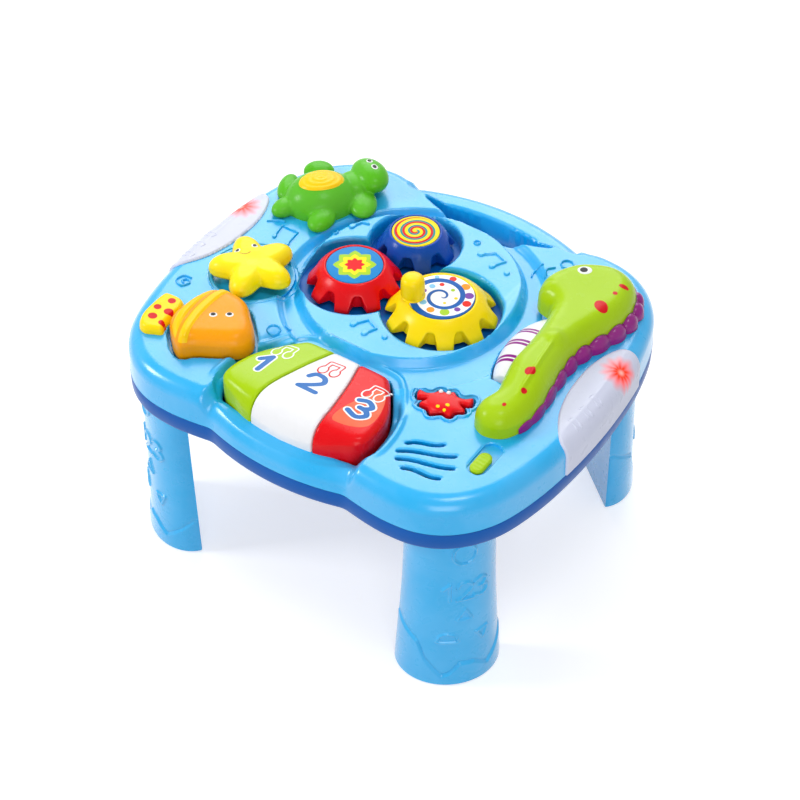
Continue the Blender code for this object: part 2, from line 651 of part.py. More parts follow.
def top_body(name, wall, foot, outline, steps):
    """The table top as a solid, its skin moved in by a wall: shoulder, channel, platform and key bay."""
    top = DECK_Z - wall
    rings = [at_height(grown(outline, -wall), foot)]
    for step in range(steps + 1):
        bend = step / steps * math.pi / 2
        inset = WALL_DRAFT + wall + SHOULDER_RADIUS * (1 - math.cos(bend))
        rings.append(at_height(grown(outline, -inset), top - SHOULDER_RADIUS * (1 - math.sin(bend))))
    body = loft(name, rings)
    channel_reach = CHANNEL_RADIUS + wall
    channel = loft("channel", [
        at_height(circle(CHANNEL_X, CHANNEL_Y, channel_reach - CHANNEL_SLOPE), CHANNEL_Z - wall),
        at_height(circle(CHANNEL_X, CHANNEL_Y, channel_reach), top + CHANNEL_SLOPE / 4),
        at_height(circle(CHANNEL_X, CHANNEL_Y, channel_reach), top + OVERRUN),
    ])
    platform_reach = PLATFORM_RADIUS - wall
    platform_top = PLATFORM_Z - wall
    platform = loft("platform", [
        at_height(circle(PLATFORM_X, PLATFORM_Y, platform_reach + PLATFORM_SLOPE), CHANNEL_Z - wall - WALL),
        at_height(circle(PLATFORM_X, PLATFORM_Y, platform_reach), platform_top - PLATFORM_SLOPE / 4),
        at_height(circle(PLATFORM_X, PLATFORM_Y, platform_reach - PLATFORM_SLOPE / 2), platform_top),
    ])
    body = join(cut(body, channel), platform)
    return cut(body, key_bay("key_bay_cutter", wall), handle_step("handle_step_cutter", wall))


def key_bay(name, wall):
    """The sloping bay in front: a side profile carried across the width."""
    shares = np.asarray(SCOOP_SHARES)
    y = SCOOP_REAR_Y + (SCOOP_FRONT_Y - SCOOP_REAR_Y) * shares[:, 0] + wall * (shares[:, 0] == 0)
    z = SCOOP_FLOOR_Z + (DECK_Z - SCOOP_FLOOR_Z) * shares[:, 1] - wall
    lid = DECK_Z + OVERRUN
    side = np.concatenate([np.column_stack([y, z]), [(y[-1], lid), (y[0], lid)]])
    half = SCOOP_HALF_WIDTH + wall
    return loft(name, [np.column_stack([np.full(len(side), x), side]) for x in (-half, half)])


def handle_step(name, wall):
    """The handle lies a little lower than the deck."""
    rear_y = REAR_REACH + OVERRUN
    rear_x = HANDLE_HALF_WIDTH + OVERRUN
    outline = np.array([
        (-HANDLE_HALF_WIDTH, HANDLE_STEP_Y), (HANDLE_HALF_WIDTH, HANDLE_STEP_Y),
        (rear_x, rear_y), (-rear_x, rear_y),
    ])
    return prism(name, grown(outline, wall), HANDLE_Z - wall, DECK_Z + OVERRUN)


def grip_outline(extra=0.0):
    """The finger opening: two bows that meet at its ends, grown outwards and a little more at its tips."""
    front = bow(GRIP_HALF_WIDTH, GRIP_END_Y, GRIP_FRONT_Y, GRIP_STEPS)[::-1]
    rear = bow(GRIP_HALF_WIDTH, GRIP_END_Y, GRIP_REAR_Y, GRIP_STEPS)[1:-1]
    outline = np.concatenate([front, rear])
    away = outline - (0.0, (GRIP_FRONT_Y + GRIP_REAR_Y) / 2)
    away_unit = away / np.linalg.norm(away, axis=1)[:, None]
    return outline + extra * (away_unit + np.sign(away) * (GRIP_TIP_SHARE, 0.0))


def keys_outline(extra=0.0, steps=OUTLINE_STEPS):
    """The three keys' outline together, mirrored from its right half."""
    half = np.asarray(KEYS_SHARES) * (KEYS_HALF_WIDTH, KEYS_FRONT_Y - KEYS_REAR_Y) + (0, KEYS_REAR_Y)
    right = spline(half[1:-1], steps, closed=False)
    outline = np.concatenate([half[-1:], right[::-1], half[:1], right * (-1, 1)])
    return grown(outline, extra)


def wells():
    return (
        ("yellow", YELLOW_X, YELLOW_Y, YELLOW_WELL),
        ("red", RED_X, RED_Y, RED_WELL),
        ("blue", BLUE_X, BLUE_Y, BLUE_WELL),
    )


def gear_axes():
    return [(x, y) for _, x, y, _ in wells()]


def well_solid(name, extra, low, high):
    """The three joined round wells as one solid."""
    drums = [
        prism(name + colour, circle(x, y, radius + extra, WELL_SIDES), low, high)
        for colour, x, y, radius in wells()
    ]
    drums[0].name = name
    x, y = np.mean(gear_axes(), axis=0)
    return join(*drums, prism(name + "middle", circle(x, y, MIDDLE_WELL + extra, STEM_SIDES), low, high))


def window_outline(side, extra=0.0):
    """A pane's outline from above, mirrored to its side of the table."""
    curve = spline(WINDOW_SHARES, OUTLINE_STEPS, closed=False)
    size = (HALF_WIDTH - WINDOW_INNER_X, WINDOW_REAR_Y - WINDOW_FRONT_Y)
    outline = curve * size + (WINDOW_INNER_X, WINDOW_FRONT_Y)
    return grown(outline * (side, 1), extra)


def fish_outline(extra=0.0, steps=OUTLINE_STEPS):
    return grown(spline(placed(FISH_SHARES, FISH_X, FISH_Y, FISH_SIZE), steps), extra)


def tail_outline():
    return spline(placed(TAIL_SHARES, FISH_X, FISH_Y, FISH_SIZE), OUTLINE_STEPS)


def star_circle(radius, sides):
    return circle(STAR_X, STAR_Y, radius, sides)


def crab_outline():
    return placed(CRAB_SHARES, CRAB_X, CRAB_Y, CRAB_SIZE, CRAB_TURN)


def crab_pocket(extra):
    """An oval round the crab's claws and legs."""
    across_share, along_share = CRAB_POCKET_SHARES
    radii = (across_share * CRAB_SIZE + extra, along_share * CRAB_SIZE + extra)
    return placed(circle(0.0, 0.0, 1.0, WELL_SIDES) * radii, CRAB_X, CRAB_Y, 1.0, CRAB_TURN)


def switch_recess(extra=0.0):
    return pill(SWITCH_X, SWITCH_Y, SWITCH_HALF_X + extra, SWITCH_HALF_Y + extra)


def slider_slot():
    """The slot that the switch knob's stem runs in."""
    half_x = SLIDER_STEM_HALF_X + 2 * GAP
    half_y = SLIDER_STEM_HALF_Y + SLIDER_TRAVEL / 2 + 2 * GAP
    return box_outline(SWITCH_X, SWITCH_Y, half_x, half_y)


def drum(name, extra):
    """The barrel's profile turned about its axis along Y, grown by the same amount all round."""
    shares = np.linspace(-1.0, 1.0, DRUM_STEPS + 1)
    reach = DRUM_LENGTH / 2 + extra
    radius = DRUM_RADIUS - (DRUM_RADIUS - DRUM_END_RADIUS) * shares**2 + extra
    rings = []
    for share, r in zip(shares, radius):
        ring = circle(DRUM_X, DRUM_Z, r, DRUM_SIDES)
        level = np.full(DRUM_SIDES, DRUM_Y + share * reach)
        rings.append(np.column_stack([ring[:, 0], level, ring[:, 1]]))
    return loft(name, rings)


def rod_along_y(name, x, z, radius, low, high, sides=STEM_SIDES):
    ring = circle(x, z, radius, sides)
    return loft(name, [np.column_stack([ring[:, 0], np.full(sides, y), ring[:, 1]]) for y in (low, high)])


def rod_along_x(name, y, z, radius, low, high, sides=STEM_SIDES):
    ring = circle(y, z, radius, sides)
    return loft(name, [np.column_stack([np.full(sides, x), ring]) for x in (low, high)])


def leg_corners():
    return (
        ("front_left", -1, -1), ("front_right", 1, -1), ("rear_left", -1, 1), ("rear_right", 1, 1),
    )


def leg_section(across, along, share, extra=0.0):
    """A leg's section: a half oval, its flat side towards the middle of the table."""
    bend = np.linspace(0.0, math.pi, LEG_ARC_POINTS)
    half_width = LEG_HALF_WIDTH * share + extra
    depth = LEG_DEPTH * share + 2 * extra
    half = np.column_stack([half_width * np.cos(bend), depth * np.sin(bend) - extra])
    outline = placed(half, 0.0, 0.0, 1.0, LEG_TURN - math.pi / 2) * (across, along)
    outline = outline[::-1] if across * along < 0 else outline
    return outline + leg_place(across, along)


def leg_place(across, along):
    return across * LEG_X, along * LEG_Y + LOBE_MIDDLE_Y


def plug_section(across, along, extra=0.0):
    """The leg's top section stepped in all round."""
    top_share = LEG_TAPER_SHARES[-1][1]
    return leg_section(across, along, top_share, extra - PLUG_STEP)


def sockets(name, extra, low, high):
    """A bar of the plug's section at each leg, grown by a clearance or a wall."""
    return [prism(name, plug_section(across, along, extra), low, high) for _, across, along in leg_corners()]


def case_posts():
    return [(x, y) for y in (FRONT_POST_Y, REAR_POST_Y) for x in (-POST_X, POST_X)]


def box_half():
    """Half sizes of the space for the cells."""
    half_x = CELL_LENGTH / 2 + CELL_NIB_LENGTH + CONTACT_THICKNESS + 2 * GAP
    half_y = CELL_COUNT * (CELL_RADIUS + GAP) + GAP
    return half_x, half_y


def box_ceiling():
    return UNDERSIDE_Z + DOOR_THICKNESS + 3 * GAP + 2 * CELL_RADIUS


def door_screw_place():
    half_y = box_half()[1]
    return BOX_X, BOX_Y - half_y - DOOR_MARGIN - CASE_POST_RADIUS / 2


def board_posts():
    """Places and tops of the small posts that carry the boards."""
    key_top = KEY_BOARD_Z - BOARD_THICKNESS - GAP
    main_top = MAIN_BOARD_Z - BOARD_THICKNESS - GAP
    key_reach = KEY_STEM_SPREAD / 2
    main_reach = MAIN_BOARD_HALF_X - 2 * SMALL_POST_RADIUS
    return (
        (-key_reach, KEY_STEM_Y, key_top),
        (key_reach, KEY_STEM_Y, key_top),
        (MAIN_BOARD_X - main_reach, MAIN_BOARD_Y, main_top),
        (MAIN_BOARD_X + main_reach, MAIN_BOARD_Y, main_top),
    )


def button_stems():
    return ((TURTLE_X, TURTLE_Y), (FISH_X, FISH_Y), (CRAB_X, CRAB_Y))


def button_post_top():
    return STEM_FOOT_Z - 2 * GAP - DOME_HEIGHT


def drum_pin_half():
    return DRUM_LENGTH / 2 + DRUM_ROOM + WALL - GAP


def knob_place():
    return YELLOW_X + KNOB_CRANK * math.cos(KNOB_TURN), YELLOW_Y + KNOB_CRANK * math.sin(KNOB_TURN)


def speaker_slots():
    """Slanted slots over the loudspeaker, cut through the deck."""
    slots = []
    outline = pill(0.0, 0.0, SLOT_WIDTH / 2, SLOT_LENGTH / 2, SLOT_END_STEPS)
    for i in range(SPEAKER_SLOTS):
        offset = (i - (SPEAKER_SLOTS - 1) / 2) * SLOT_PITCH
        shape = placed(outline, SPEAKER_X, SPEAKER_Y + offset, 1.0, SLOT_SLANT - math.pi / 2)
        slots.append(prism(f"slot{i}", shape, DECK_Z - 2 * WALL, DECK_Z + OVERRUN))
    return slots


def make_top_shell(material):
    """The moulded top: one skin of even wall, with the walls of its wells, bay, pockets and posts."""
    lid = DECK_Z + OVERRUN
    low = SEAM_Z - OVERRUN
    pocket_foot = BASIN_Z - WALL
    switch_floor = DECK_Z - SWITCH_DEPTH
    shell = top_body("top_shell", 0.0, SEAM_Z, OUTLINE, SHOULDER_STEPS)
    hollow = top_body("hollow", WALL, low, INNER_OUTLINE, INNER_SHOULDER_STEPS)
    hollow = cut(
        hollow,
        well_solid("well_walls", WALL, PLATE_Z + GAP, lid),
        prism("bay_walls", keys_outline(KEY_ROOM + WALL, INNER_OUTLINE_STEPS), BAY_WALL_Z, lid),
        prism("basin_walls", star_circle(STAR_BASIN_RADIUS + WALL, WELL_SIDES), pocket_foot, lid),
        prism("fish_walls", fish_outline(POCKET_ROOM + WALL, INNER_OUTLINE_STEPS), pocket_foot, lid),
        prism("crab_walls", crab_pocket(POCKET_ROOM + WALL), pocket_foot, lid),
        prism("switch_walls", switch_recess(WALL), switch_floor - WALL, lid),
        prism("grip_walls", grip_outline(WALL), low - OVERRUN, lid),
        drum("drum_walls", DRUM_ROOM + WALL),
        *pegs("post_wall", case_posts(), CASE_POST_RADIUS, SEAM_Z, lid),
    )
    pin_reach = drum_pin_half() + GAP
    pin_radius = DRUM_PIN_RADIUS + GAP
    rod_reach = KEY_ROD_HALF + GAP
    screw_top = SEAM_Z + CASE_SCREW_LENGTH / 2
    shell = cut(
        shell,
        hollow,
        well_solid("well_cutter", 0.0, SEAM_Z, lid),
        prism("bay_cutter", keys_outline(KEY_ROOM), SEAM_Z, lid),
        prism("basin", star_circle(STAR_BASIN_RADIUS, WELL_SIDES), BASIN_Z, lid),
        prism("star_hole", star_circle(STAR_STEM_RADIUS + GAP, STEM_SIDES), SEAM_Z, lid),
        prism("fish_pocket", fish_outline(POCKET_ROOM, INNER_OUTLINE_STEPS), BASIN_Z, lid),
        prism("crab_pocket", crab_pocket(POCKET_ROOM), BASIN_Z, lid),
        prism("switch_recess", switch_recess(), switch_floor, lid),
        prism("switch_slot", slider_slot(), SEAM_Z, lid),
        prism("grip", grip_outline(), UNDERSIDE_Z, lid),
        drum("drum_room", DRUM_ROOM),
        rod_along_x("rod_bore", KEY_HINGE_Y, KEY_HINGE_Z, KEY_ROD_RADIUS + GAP, -rod_reach, rod_reach),
        rod_along_y("pin_bore", DRUM_X, DRUM_Z, pin_radius, DRUM_Y - pin_reach, DRUM_Y + pin_reach),
        *pegs("stem_hole", button_stems(), STEM_RADIUS + GAP, SEAM_Z, lid),
        *[prism("window_hole", window_outline(side, GAP), low, lid) for side in (-1, 1)],
        *pegs("screw_bore", case_posts(), CASE_SCREW_RADIUS + GAP, low, screw_top, SCREW_SIDES),
        *speaker_slots(),
    )
    return finish(shell, material)


def make_bottom_shell(material):
    """The base tray: band, floor, leg sockets, battery box, screw posts and board posts."""
    seam = SEAM_Z - GAP
    low = UNDERSIDE_Z - OVERRUN
    lid = SEAM_Z + OVERRUN
    under = UNDERSIDE_Z + BAND_ROUND / 2
    post_foot = UNDERSIDE_Z + WALL / 2
    shell = loft("bottom_shell", [
        at_height(grown(OUTLINE, -BAND_ROUND), UNDERSIDE_Z),
        at_height(OUTLINE, UNDERSIDE_Z + BAND_ROUND),
        at_height(OUTLINE, seam),
    ])
    hollow = prism("hollow", grown(INNER_OUTLINE, -WALL), UNDERSIDE_Z + WALL, lid)
    hollow = cut(hollow, prism("grip_wall", grip_outline(WALL), low, lid + OVERRUN))
    shell = cut(shell, hollow, prism("grip", grip_outline(), low, lid))
    half_x, half_y = box_half()
    box_top = box_ceiling()
    walled_box = box_outline(BOX_X, BOX_Y, half_x + BOX_WALL, half_y + BOX_WALL)
    boss_top = UNDERSIDE_Z + DOOR_SCREW_DEPTH + DOOR_THICKNESS
    lamp_places = [(side * LAMP_X, LAMP_Y) for side in (-1, 1)]
    shell = join(
        shell,
        prism("box", walled_box, under, box_top + BOX_WALL),
        *sockets("collar", GAP + SOCKET_WALL, under, UNDERSIDE_Z + PLUG_LENGTH),
        *pegs("post", case_posts(), CASE_POST_RADIUS, post_foot, seam),
        *pegs("lamp_post", lamp_places, SMALL_POST_RADIUS, post_foot, LAMP_TOP_Z - LAMP_HEIGHT - GAP),
        *[pegs("board_post", [(x, y)], SMALL_POST_RADIUS, post_foot, top)[0] for x, y, top in board_posts()],
        *pegs("stem_post", button_stems(), STEM_RADIUS, post_foot, button_post_top()),
        *pegs("door_boss", [door_screw_place()], CASE_POST_RADIUS, under, boss_top),
    )
    door_space = box_outline(BOX_X, BOX_Y, half_x + DOOR_MARGIN, half_y + DOOR_MARGIN)
    door_bore_top = UNDERSIDE_Z + DOOR_SCREW_DEPTH
    sink_top = UNDERSIDE_Z + CASE_SCREW_SINK
    shell = cut(
        shell,
        prism("cell_space", box_outline(BOX_X, BOX_Y, half_x, half_y), low, box_top),
        prism("door_ledge", door_space, low, UNDERSIDE_Z + DOOR_THICKNESS + GAP),
        *pegs("door_bore", [door_screw_place()], SCREW_SHANK_RADIUS + GAP, low, door_bore_top, SCREW_SIDES),
        *sockets("socket", GAP, low, lid),
        *pegs("screw_bore", case_posts(), CASE_SCREW_RADIUS + GAP, low, lid, SCREW_SIDES),
        *pegs("screw_sink", case_posts(), CASE_SCREW_HEAD + GAP, low, sink_top, SCREW_SIDES),
    )
    return finish(shell, material)


def gear_ring(x, y, teeth, tip, root, turn):
    """A ring of rounded teeth, its radius a trimmed cosine between root and tip."""
    angles = np.arange(teeth * TOOTH_POINTS) * math.tau / (teeth * TOOTH_POINTS)
    lift = np.clip(0.5 + TOOTH_SWING_SHARE * np.cos(angles * teeth), 0.0, 1.0)
    radius = root + (tip - root) * lift
    return np.column_stack([x + radius * np.cos(angles + turn), y + radius * np.sin(angles + turn)])


def meshing_turn(x, y, teeth, other_x, other_y, other_teeth, other_turn):
    """The turn that puts a tooth of this gear opposite a gap of the other."""
    line = math.atan2(y - other_y, x - other_x)
    tooth = (line - other_turn) * other_teeth / math.tau
    return line + math.pi - (0.5 - tooth) * math.tau / teeth


def make_gear(colour, x, y, teeth, tip, root, disc, turn):
    """A cone-skirted gear: teeth that flare to the foot, hollow under the skirt, with a hub."""
    height = GEAR_TOP_Z - GEAR_FOOT_Z
    crown = disc + 2 * GEAR_RIM
    rings = []
    for share, reach, depth in GEAR_LEVEL_SHARES:
        ring = gear_ring(x, y, teeth, tip * reach, crown + (root - crown) * depth, turn)
        rings.append(at_height(ring, GEAR_FOOT_Z + share * height))
    rings.append(at_height(circle(x, y, crown - GEAR_RIM / 2, teeth * TOOTH_POINTS, turn), GEAR_TOP_Z))
    gear = loft(colour + "_gear", rings)
    roof = DISC_SEAT_Z - GEAR_SKIN
    hub_foot = PLATE_Z + GAP
    skirt = root - GEAR_SKIN
    skirt_top = GEAR_FOOT_Z + SKIRT_SHARE * height
    skirt_profile = [(skirt, GEAR_FOOT_Z - OVERRUN), (skirt, skirt_top), (crown - GEAR_SKIN, roof)]
    gear = cut(gear, turned("skirt_hollow", skirt_profile, x, y, STEM_SIDES))
    gear = join(gear, prism("hub", circle(x, y, HUB_RADIUS, STEM_SIDES), hub_foot, roof + GAP))
    return cut(
        gear,
        prism("bore", circle(x, y, POST_RADIUS + GAP, STEM_SIDES), hub_foot - GAP, GEAR_TOP_Z),
        prism("washer_room", circle(x, y, SCREW_HEAD_RADIUS + GAP, STEM_SIDES), POST_TOP_Z, GEAR_TOP_Z),
        prism("disc_seat", circle(x, y, disc + GAP, WELL_SIDES), DISC_SEAT_Z, GEAR_TOP_Z + GAP),
    )


def make_gear_screw(name, x, y, material):
    """A dome-headed screw that holds a gear down on its post."""
    head = POST_TOP_Z + GAP
    screw = prism(name, circle(x, y, SCREW_SHANK_RADIUS, SCREW_SIDES), POST_TOP_Z - GEAR_SCREW_DEPTH, head)
    head_pairs = profile(SCREW_HEAD_SHARES, SCREW_HEAD_RADIUS, head, SCREW_HEAD_HEIGHT)
    return finish(join(screw, turned("head", head_pairs, x, y, SCREW_SIDES)), material)


def make_gears(paint):
    """The three gears with their printed discs and screws; the yellow one also carries the crank knob."""
    yellow_turn = meshing_turn(YELLOW_X, YELLOW_Y, YELLOW_TEETH, RED_X, RED_Y, RED_TEETH, RED_TURN)
    blue_turn = meshing_turn(BLUE_X, BLUE_Y, BLUE_TEETH, RED_X, RED_Y, RED_TEETH, RED_TURN)
    gears = (
        ("yellow", YELLOW_X, YELLOW_Y, YELLOW_TEETH, YELLOW_TIP, YELLOW_ROOT, YELLOW_DISC, yellow_turn),
        ("red", RED_X, RED_Y, RED_TEETH, RED_TIP, RED_ROOT, RED_DISC, RED_TURN),
        ("blue", BLUE_X, BLUE_Y, BLUE_TEETH, BLUE_TIP, BLUE_ROOT, BLUE_DISC, blue_turn),
    )
    knob_x, knob_y = knob_place()
    peg_foot = GEAR_TOP_Z - KNOB_PEG_DEPTH
    label_top = GEAR_TOP_Z + DISC_PROUD
    label_foot = label_top - DISC_THICKNESS
    for colour, x, y, teeth, tip, root, disc, turn in gears:
        gear = make_gear(colour, x, y, teeth, tip, root, disc, turn)
        label = prism(colour + "_disc", circle(x, y, disc, WELL_SIDES), label_foot, label_top)
        if colour == "yellow":
            peg_hole = circle(knob_x, knob_y, KNOB_PEG_RADIUS + GAP, STEM_SIDES)
            gear = cut(gear, prism("peg_hole", peg_hole, peg_foot, GEAR_TOP_Z + GAP))
            notch = circle(knob_x, knob_y, KNOB_RADIUS + GAP, KNOB_SIDES)
            label = cut(label, prism("knob_notch", notch, label_foot - OVERRUN, label_top + OVERRUN))
        axis = (x, y, GEAR_FOOT_Z)
        finish(gear, paint[colour], axis)
        finish(label, paint["white"] if colour == "yellow" else paint["royal"], axis)
        make_gear_screw(colour + "_gear_screw", x, y, paint["steel"])
    seat = GEAR_TOP_Z + GAP
    knob_pairs = profile(KNOB_SHARES, KNOB_RADIUS, seat, KNOB_HEIGHT)
    knob = turned("crank_knob", knob_pairs, knob_x, knob_y, KNOB_SIDES)
    peg = prism("peg", circle(knob_x, knob_y, KNOB_PEG_RADIUS, STEM_SIDES), peg_foot + GAP, seat + GAP)
    finish(join(knob, peg), paint["yellow"], (YELLOW_X, YELLOW_Y, GEAR_FOOT_Z))


def make_gear_plate(material):
    """The royal blue floor of the wells with the three posts that the gears turn on."""
    plate = well_solid("gear_plate", WALL, PLATE_Z - PLATE_THICKNESS, PLATE_Z)
    plate = join(plate, *pegs("post", gear_axes(), POST_RADIUS, PLATE_Z - PLATE_THICKNESS / 2, POST_TOP_Z))
    bore_foot = POST_TOP_Z - GEAR_SCREW_DEPTH - GAP
    bores = pegs("bore", gear_axes(), SCREW_SHANK_RADIUS + GAP, bore_foot, POST_TOP_Z + GAP, SCREW_SIDES)
    return finish(cut(plate, *bores), material)


def key_edge(side, offset):
    """The middle key's edge as a line down its length, moved sideways by an offset."""
    shares = spline(MIDDLE_KEY_SHARES, OUTLINE_STEPS, closed=False)
    y = KEYS_REAR_Y + (KEYS_FRONT_Y - KEYS_REAR_Y) * shares[:, 0]
    return np.column_stack([side * (KEYS_HALF_WIDTH * shares[:, 1] + offset), y])


def key_region(place):
    """The plan of one key: beside the middle key's edge, or between its two edges."""
    if not place:
        return np.concatenate([key_edge(1, -KEY_SLIT / 2), key_edge(-1, -KEY_SLIT / 2)[::-1]])
    edge = key_edge(place, KEY_SLIT / 2)
    far = place * (KEYS_HALF_WIDTH + OVERRUN)
    return np.concatenate([edge, [(far, edge[-1, 1]), (far, edge[0, 1])]])


def make_rubber_dome(name, x, y, base, material):
    dome_pairs = profile(DOME_SHARES, DOME_RADIUS, base, DOME_HEIGHT)
    return finish(turned(name, dome_pairs, x, y, STEM_SIDES), material)


def make_keys(paint):
    """Three keys cut from one crowned block, hinged together at the rear on a rod."""
    shares = np.asarray(KEYS_CREST_SHARES)
    y = KEYS_REAR_Y + (KEYS_FRONT_Y - KEYS_REAR_Y) * shares[:, 0]
    z = KEYS_LIP_Z + (KEYS_CREST_Z - KEYS_LIP_Z) * shares[:, 1]
    side = np.concatenate([np.column_stack([y, z]), [(y[-1], KEYS_FOOT_Z), (y[0], KEYS_FOOT_Z)]])
    reach = KEYS_HALF_WIDTH + OVERRUN
    stem_foot = KEY_BOARD_Z + DOME_HEIGHT + 2 * GAP
    bore = KEY_ROD_RADIUS + GAP
    finishes = (("left_key", "lime", -1), ("middle_key", "white", 0), ("right_key", "red", 1))
    for name, colour, place in finishes:
        key = loft(name, [
            at_height(keys_outline(), KEYS_FOOT_Z),
            at_height(keys_outline(), DECK_Z - WALL),
            at_height(keys_outline(-KEY_ROUND / 3), KEYS_CREST_Z - WALL),
            at_height(keys_outline(-KEY_ROUND), KEYS_CREST_Z + GAP),
        ])
        crown = loft("crown", [np.column_stack([np.full(len(side), x), side]) for x in (-reach, reach)])
        region = prism("region", key_region(place), KEYS_FOOT_Z - OVERRUN, KEYS_CREST_Z + OVERRUN)
        key = common(key, crown, region)
        stem_x = place * KEY_STEM_SPREAD
        stem = circle(stem_x, KEY_STEM_Y, KEY_STEM_RADIUS, SCREW_SIDES)
        key = join(key, prism("stem", stem, stem_foot, KEYS_FOOT_Z + GAP))
        key = cut(key, rod_along_x("hinge_bore", KEY_HINGE_Y, KEY_HINGE_Z, bore, -reach, reach))
        finish(key, paint[colour], (0.0, KEY_HINGE_Y, KEY_HINGE_Z))
        make_rubber_dome(name + "_dome", stem_x, KEY_STEM_Y, KEY_BOARD_Z + GAP, paint["rubber"])
    plan = box_outline(0.0, KEY_STEM_Y, KEY_BOARD_HALF_X, KEY_BOARD_HALF_Y)
    finish(prism("key_board", plan, KEY_BOARD_Z - BOARD_THICKNESS, KEY_BOARD_Z), paint["board"], smooth=False)
    rod = rod_along_x("key_hinge_rod", KEY_HINGE_Y, KEY_HINGE_Z, KEY_ROD_RADIUS, -KEY_ROD_HALF, KEY_ROD_HALF)
    finish(rod, paint["steel"])


def make_turtle(paint):
    """The turtle: a domed body with a head and five rounded fins, flat underneath, on a stem."""
    pivot = (TURTLE_X, TURTLE_Y, TURTLE_FOOT_Z)
    radii = np.array([TURTLE_HALF_WIDTH, TURTLE_HALF_LENGTH, TURTLE_HEIGHT])
    body = ellipsoid("turtle_button", pivot, radii, 0.0, KNOB_SIDES, 8)
    head_radii = (HEAD_LENGTH, HEAD_WIDTH, HEAD_HEIGHT)
    limbs = [ellipsoid("head", (HEAD_X, HEAD_Y, HEAD_Z), head_radii, HEAD_TURN, STEM_SIDES, 6)]
    size = TURTLE_HALF_LENGTH
    for i, (dx, dy, length, width, turn) in enumerate(FLIPPER_SHARES):
        place = (TURTLE_X + dx * size, TURTLE_Y + dy * size, TURTLE_FOOT_Z + FLIPPER_HEIGHT / 3)
        fin_radii = (length * size, width * size, FLIPPER_HEIGHT)
        limbs.append(ellipsoid(f"fin{i}", place, fin_radii, turn, STEM_SIDES, 5))
    body = join(body, *limbs)
    below = box_outline(TURTLE_X, TURTLE_Y, 4 * size, 4 * size)
    body = cut(body, prism("below", below, TURTLE_FOOT_Z - 2 * TURTLE_HEIGHT, TURTLE_FOOT_Z))
    body = join(body, *pegs("stem", [(TURTLE_X, TURTLE_Y)], STEM_RADIUS, STEM_FOOT_Z, TURTLE_FOOT_Z + GAP))
    oval = circle(0.0, 0.0, 1.0, PATCH_SIDES)
    high = TURTLE_FOOT_Z + 2 * TURTLE_HEIGHT
    patch_plan = oval * (SHELL_PATCH_HALF_X, SHELL_PATCH_HALF_Y) + (TURTLE_X, TURTLE_Y)
    body = cut(body, prism("patch_seat", grown(patch_plan, GAP), SHELL_PATCH_Z - GAP, high))
    patch = ellipsoid("turtle_shell_patch", pivot, radii + SHELL_PATCH_PROUD, 0.0, PATCH_SIDES, 12)
    patch = common(patch, prism("patch_oval", patch_plan, SHELL_PATCH_Z, high))
    finish(body, paint["green"], pivot)
    finish(patch, paint["orange"], pivot)


def make_star(material):
    """A five-armed pillow star on a stem that snaps under its basin."""
    count = STAR_ARMS * STAR_ARM_POINTS
    angles = np.arange(count) * math.tau / count
    lift = (0.5 + 0.5 * np.cos(STAR_ARMS * angles)) ** STAR_ARM_POWER
    radius = STAR_VALLEY + (STAR_RADIUS - STAR_VALLEY) * lift
    outline = circle(0.0, 0.0, 1.0, count, STAR_TURN) * radius[:, None]
    height = STAR_TOP_Z - STAR_FOOT_Z
    star = loft("star_knob", [
        at_height(placed(outline, STAR_X, STAR_Y, share), STAR_FOOT_Z + height * up)
        for share, up in STAR_SHARES
    ])
    under = BASIN_Z - WALL - GAP
    snap_low = under - STAR_SNAP
    snap_radius = STAR_STEM_RADIUS + STAR_SNAP
    stem_profile = [
        (STAR_STEM_RADIUS - STAR_SNAP, STAR_STEM_FOOT_Z),
        (snap_radius, snap_low),
        (snap_radius, under),
    ]
    skirt = star_circle(STAR_VALLEY * STAR_SKIRT_SHARE, STEM_SIDES)
    star = join(
        star,
        prism("neck", star_circle(STAR_STEM_RADIUS, STEM_SIDES), snap_low, STAR_FOOT_Z + GAP),
        turned("stem", stem_profile, STAR_X, STAR_Y, STEM_SIDES),
        prism("skirt", skirt, BASIN_Z + GAP, STAR_FOOT_Z + GAP),
    )
    return finish(star, material, (STAR_X, STAR_Y, STAR_FOOT_Z))


def make_fish(paint):
    """The fish, a high pillow on a stem, and its tail, a low pillow that stays on the deck."""
    foot = BASIN_Z + BUTTON_LIFT
    inset = FISH_SIZE * FISH_INSET_SHARE
    fish = domed("fish_button", fish_outline(), foot, FISH_TOP_Z, inset, 3, FISH_EDGE_SHARE)
    fish = join(fish, *pegs("stem", [(FISH_X, FISH_Y)], STEM_RADIUS, STEM_FOOT_Z, foot + GAP))
    finish(fish, paint["orange"], (FISH_X, FISH_Y, foot))
    inset = (TAIL_TOP_Z - TAIL_FOOT_Z) / 2
    tail = domed("fish_tail", tail_outline(), TAIL_FOOT_Z, TAIL_TOP_Z, inset, 2, TAIL_EDGE_SHARE)
    tail = cut(
        tail,
        prism("fish_room", fish_outline(2 * GAP), TAIL_FOOT_Z - OVERRUN, FISH_TOP_Z + OVERRUN),
        prism("pocket_room", fish_outline(POCKET_ROOM), TAIL_FOOT_Z - OVERRUN, TAIL_FOOT_Z),
    )
    finish(tail, paint["yellow"])


def make_crab(material):
    """The crab: a low plate in the outline of its claws and legs, on a stem."""
    foot = BASIN_Z + BUTTON_LIFT
    inset = CRAB_SIZE * CRAB_INSET_SHARE
    crab = domed("crab_button", crab_outline(), foot, CRAB_TOP_Z, inset, 2, CRAB_EDGE_SHARE)
    crab = join(crab, *pegs("stem", [(CRAB_X, CRAB_Y)], STEM_RADIUS, STEM_FOOT_Z, foot + GAP))
    return finish(crab, material, (CRAB_X, CRAB_Y, foot))


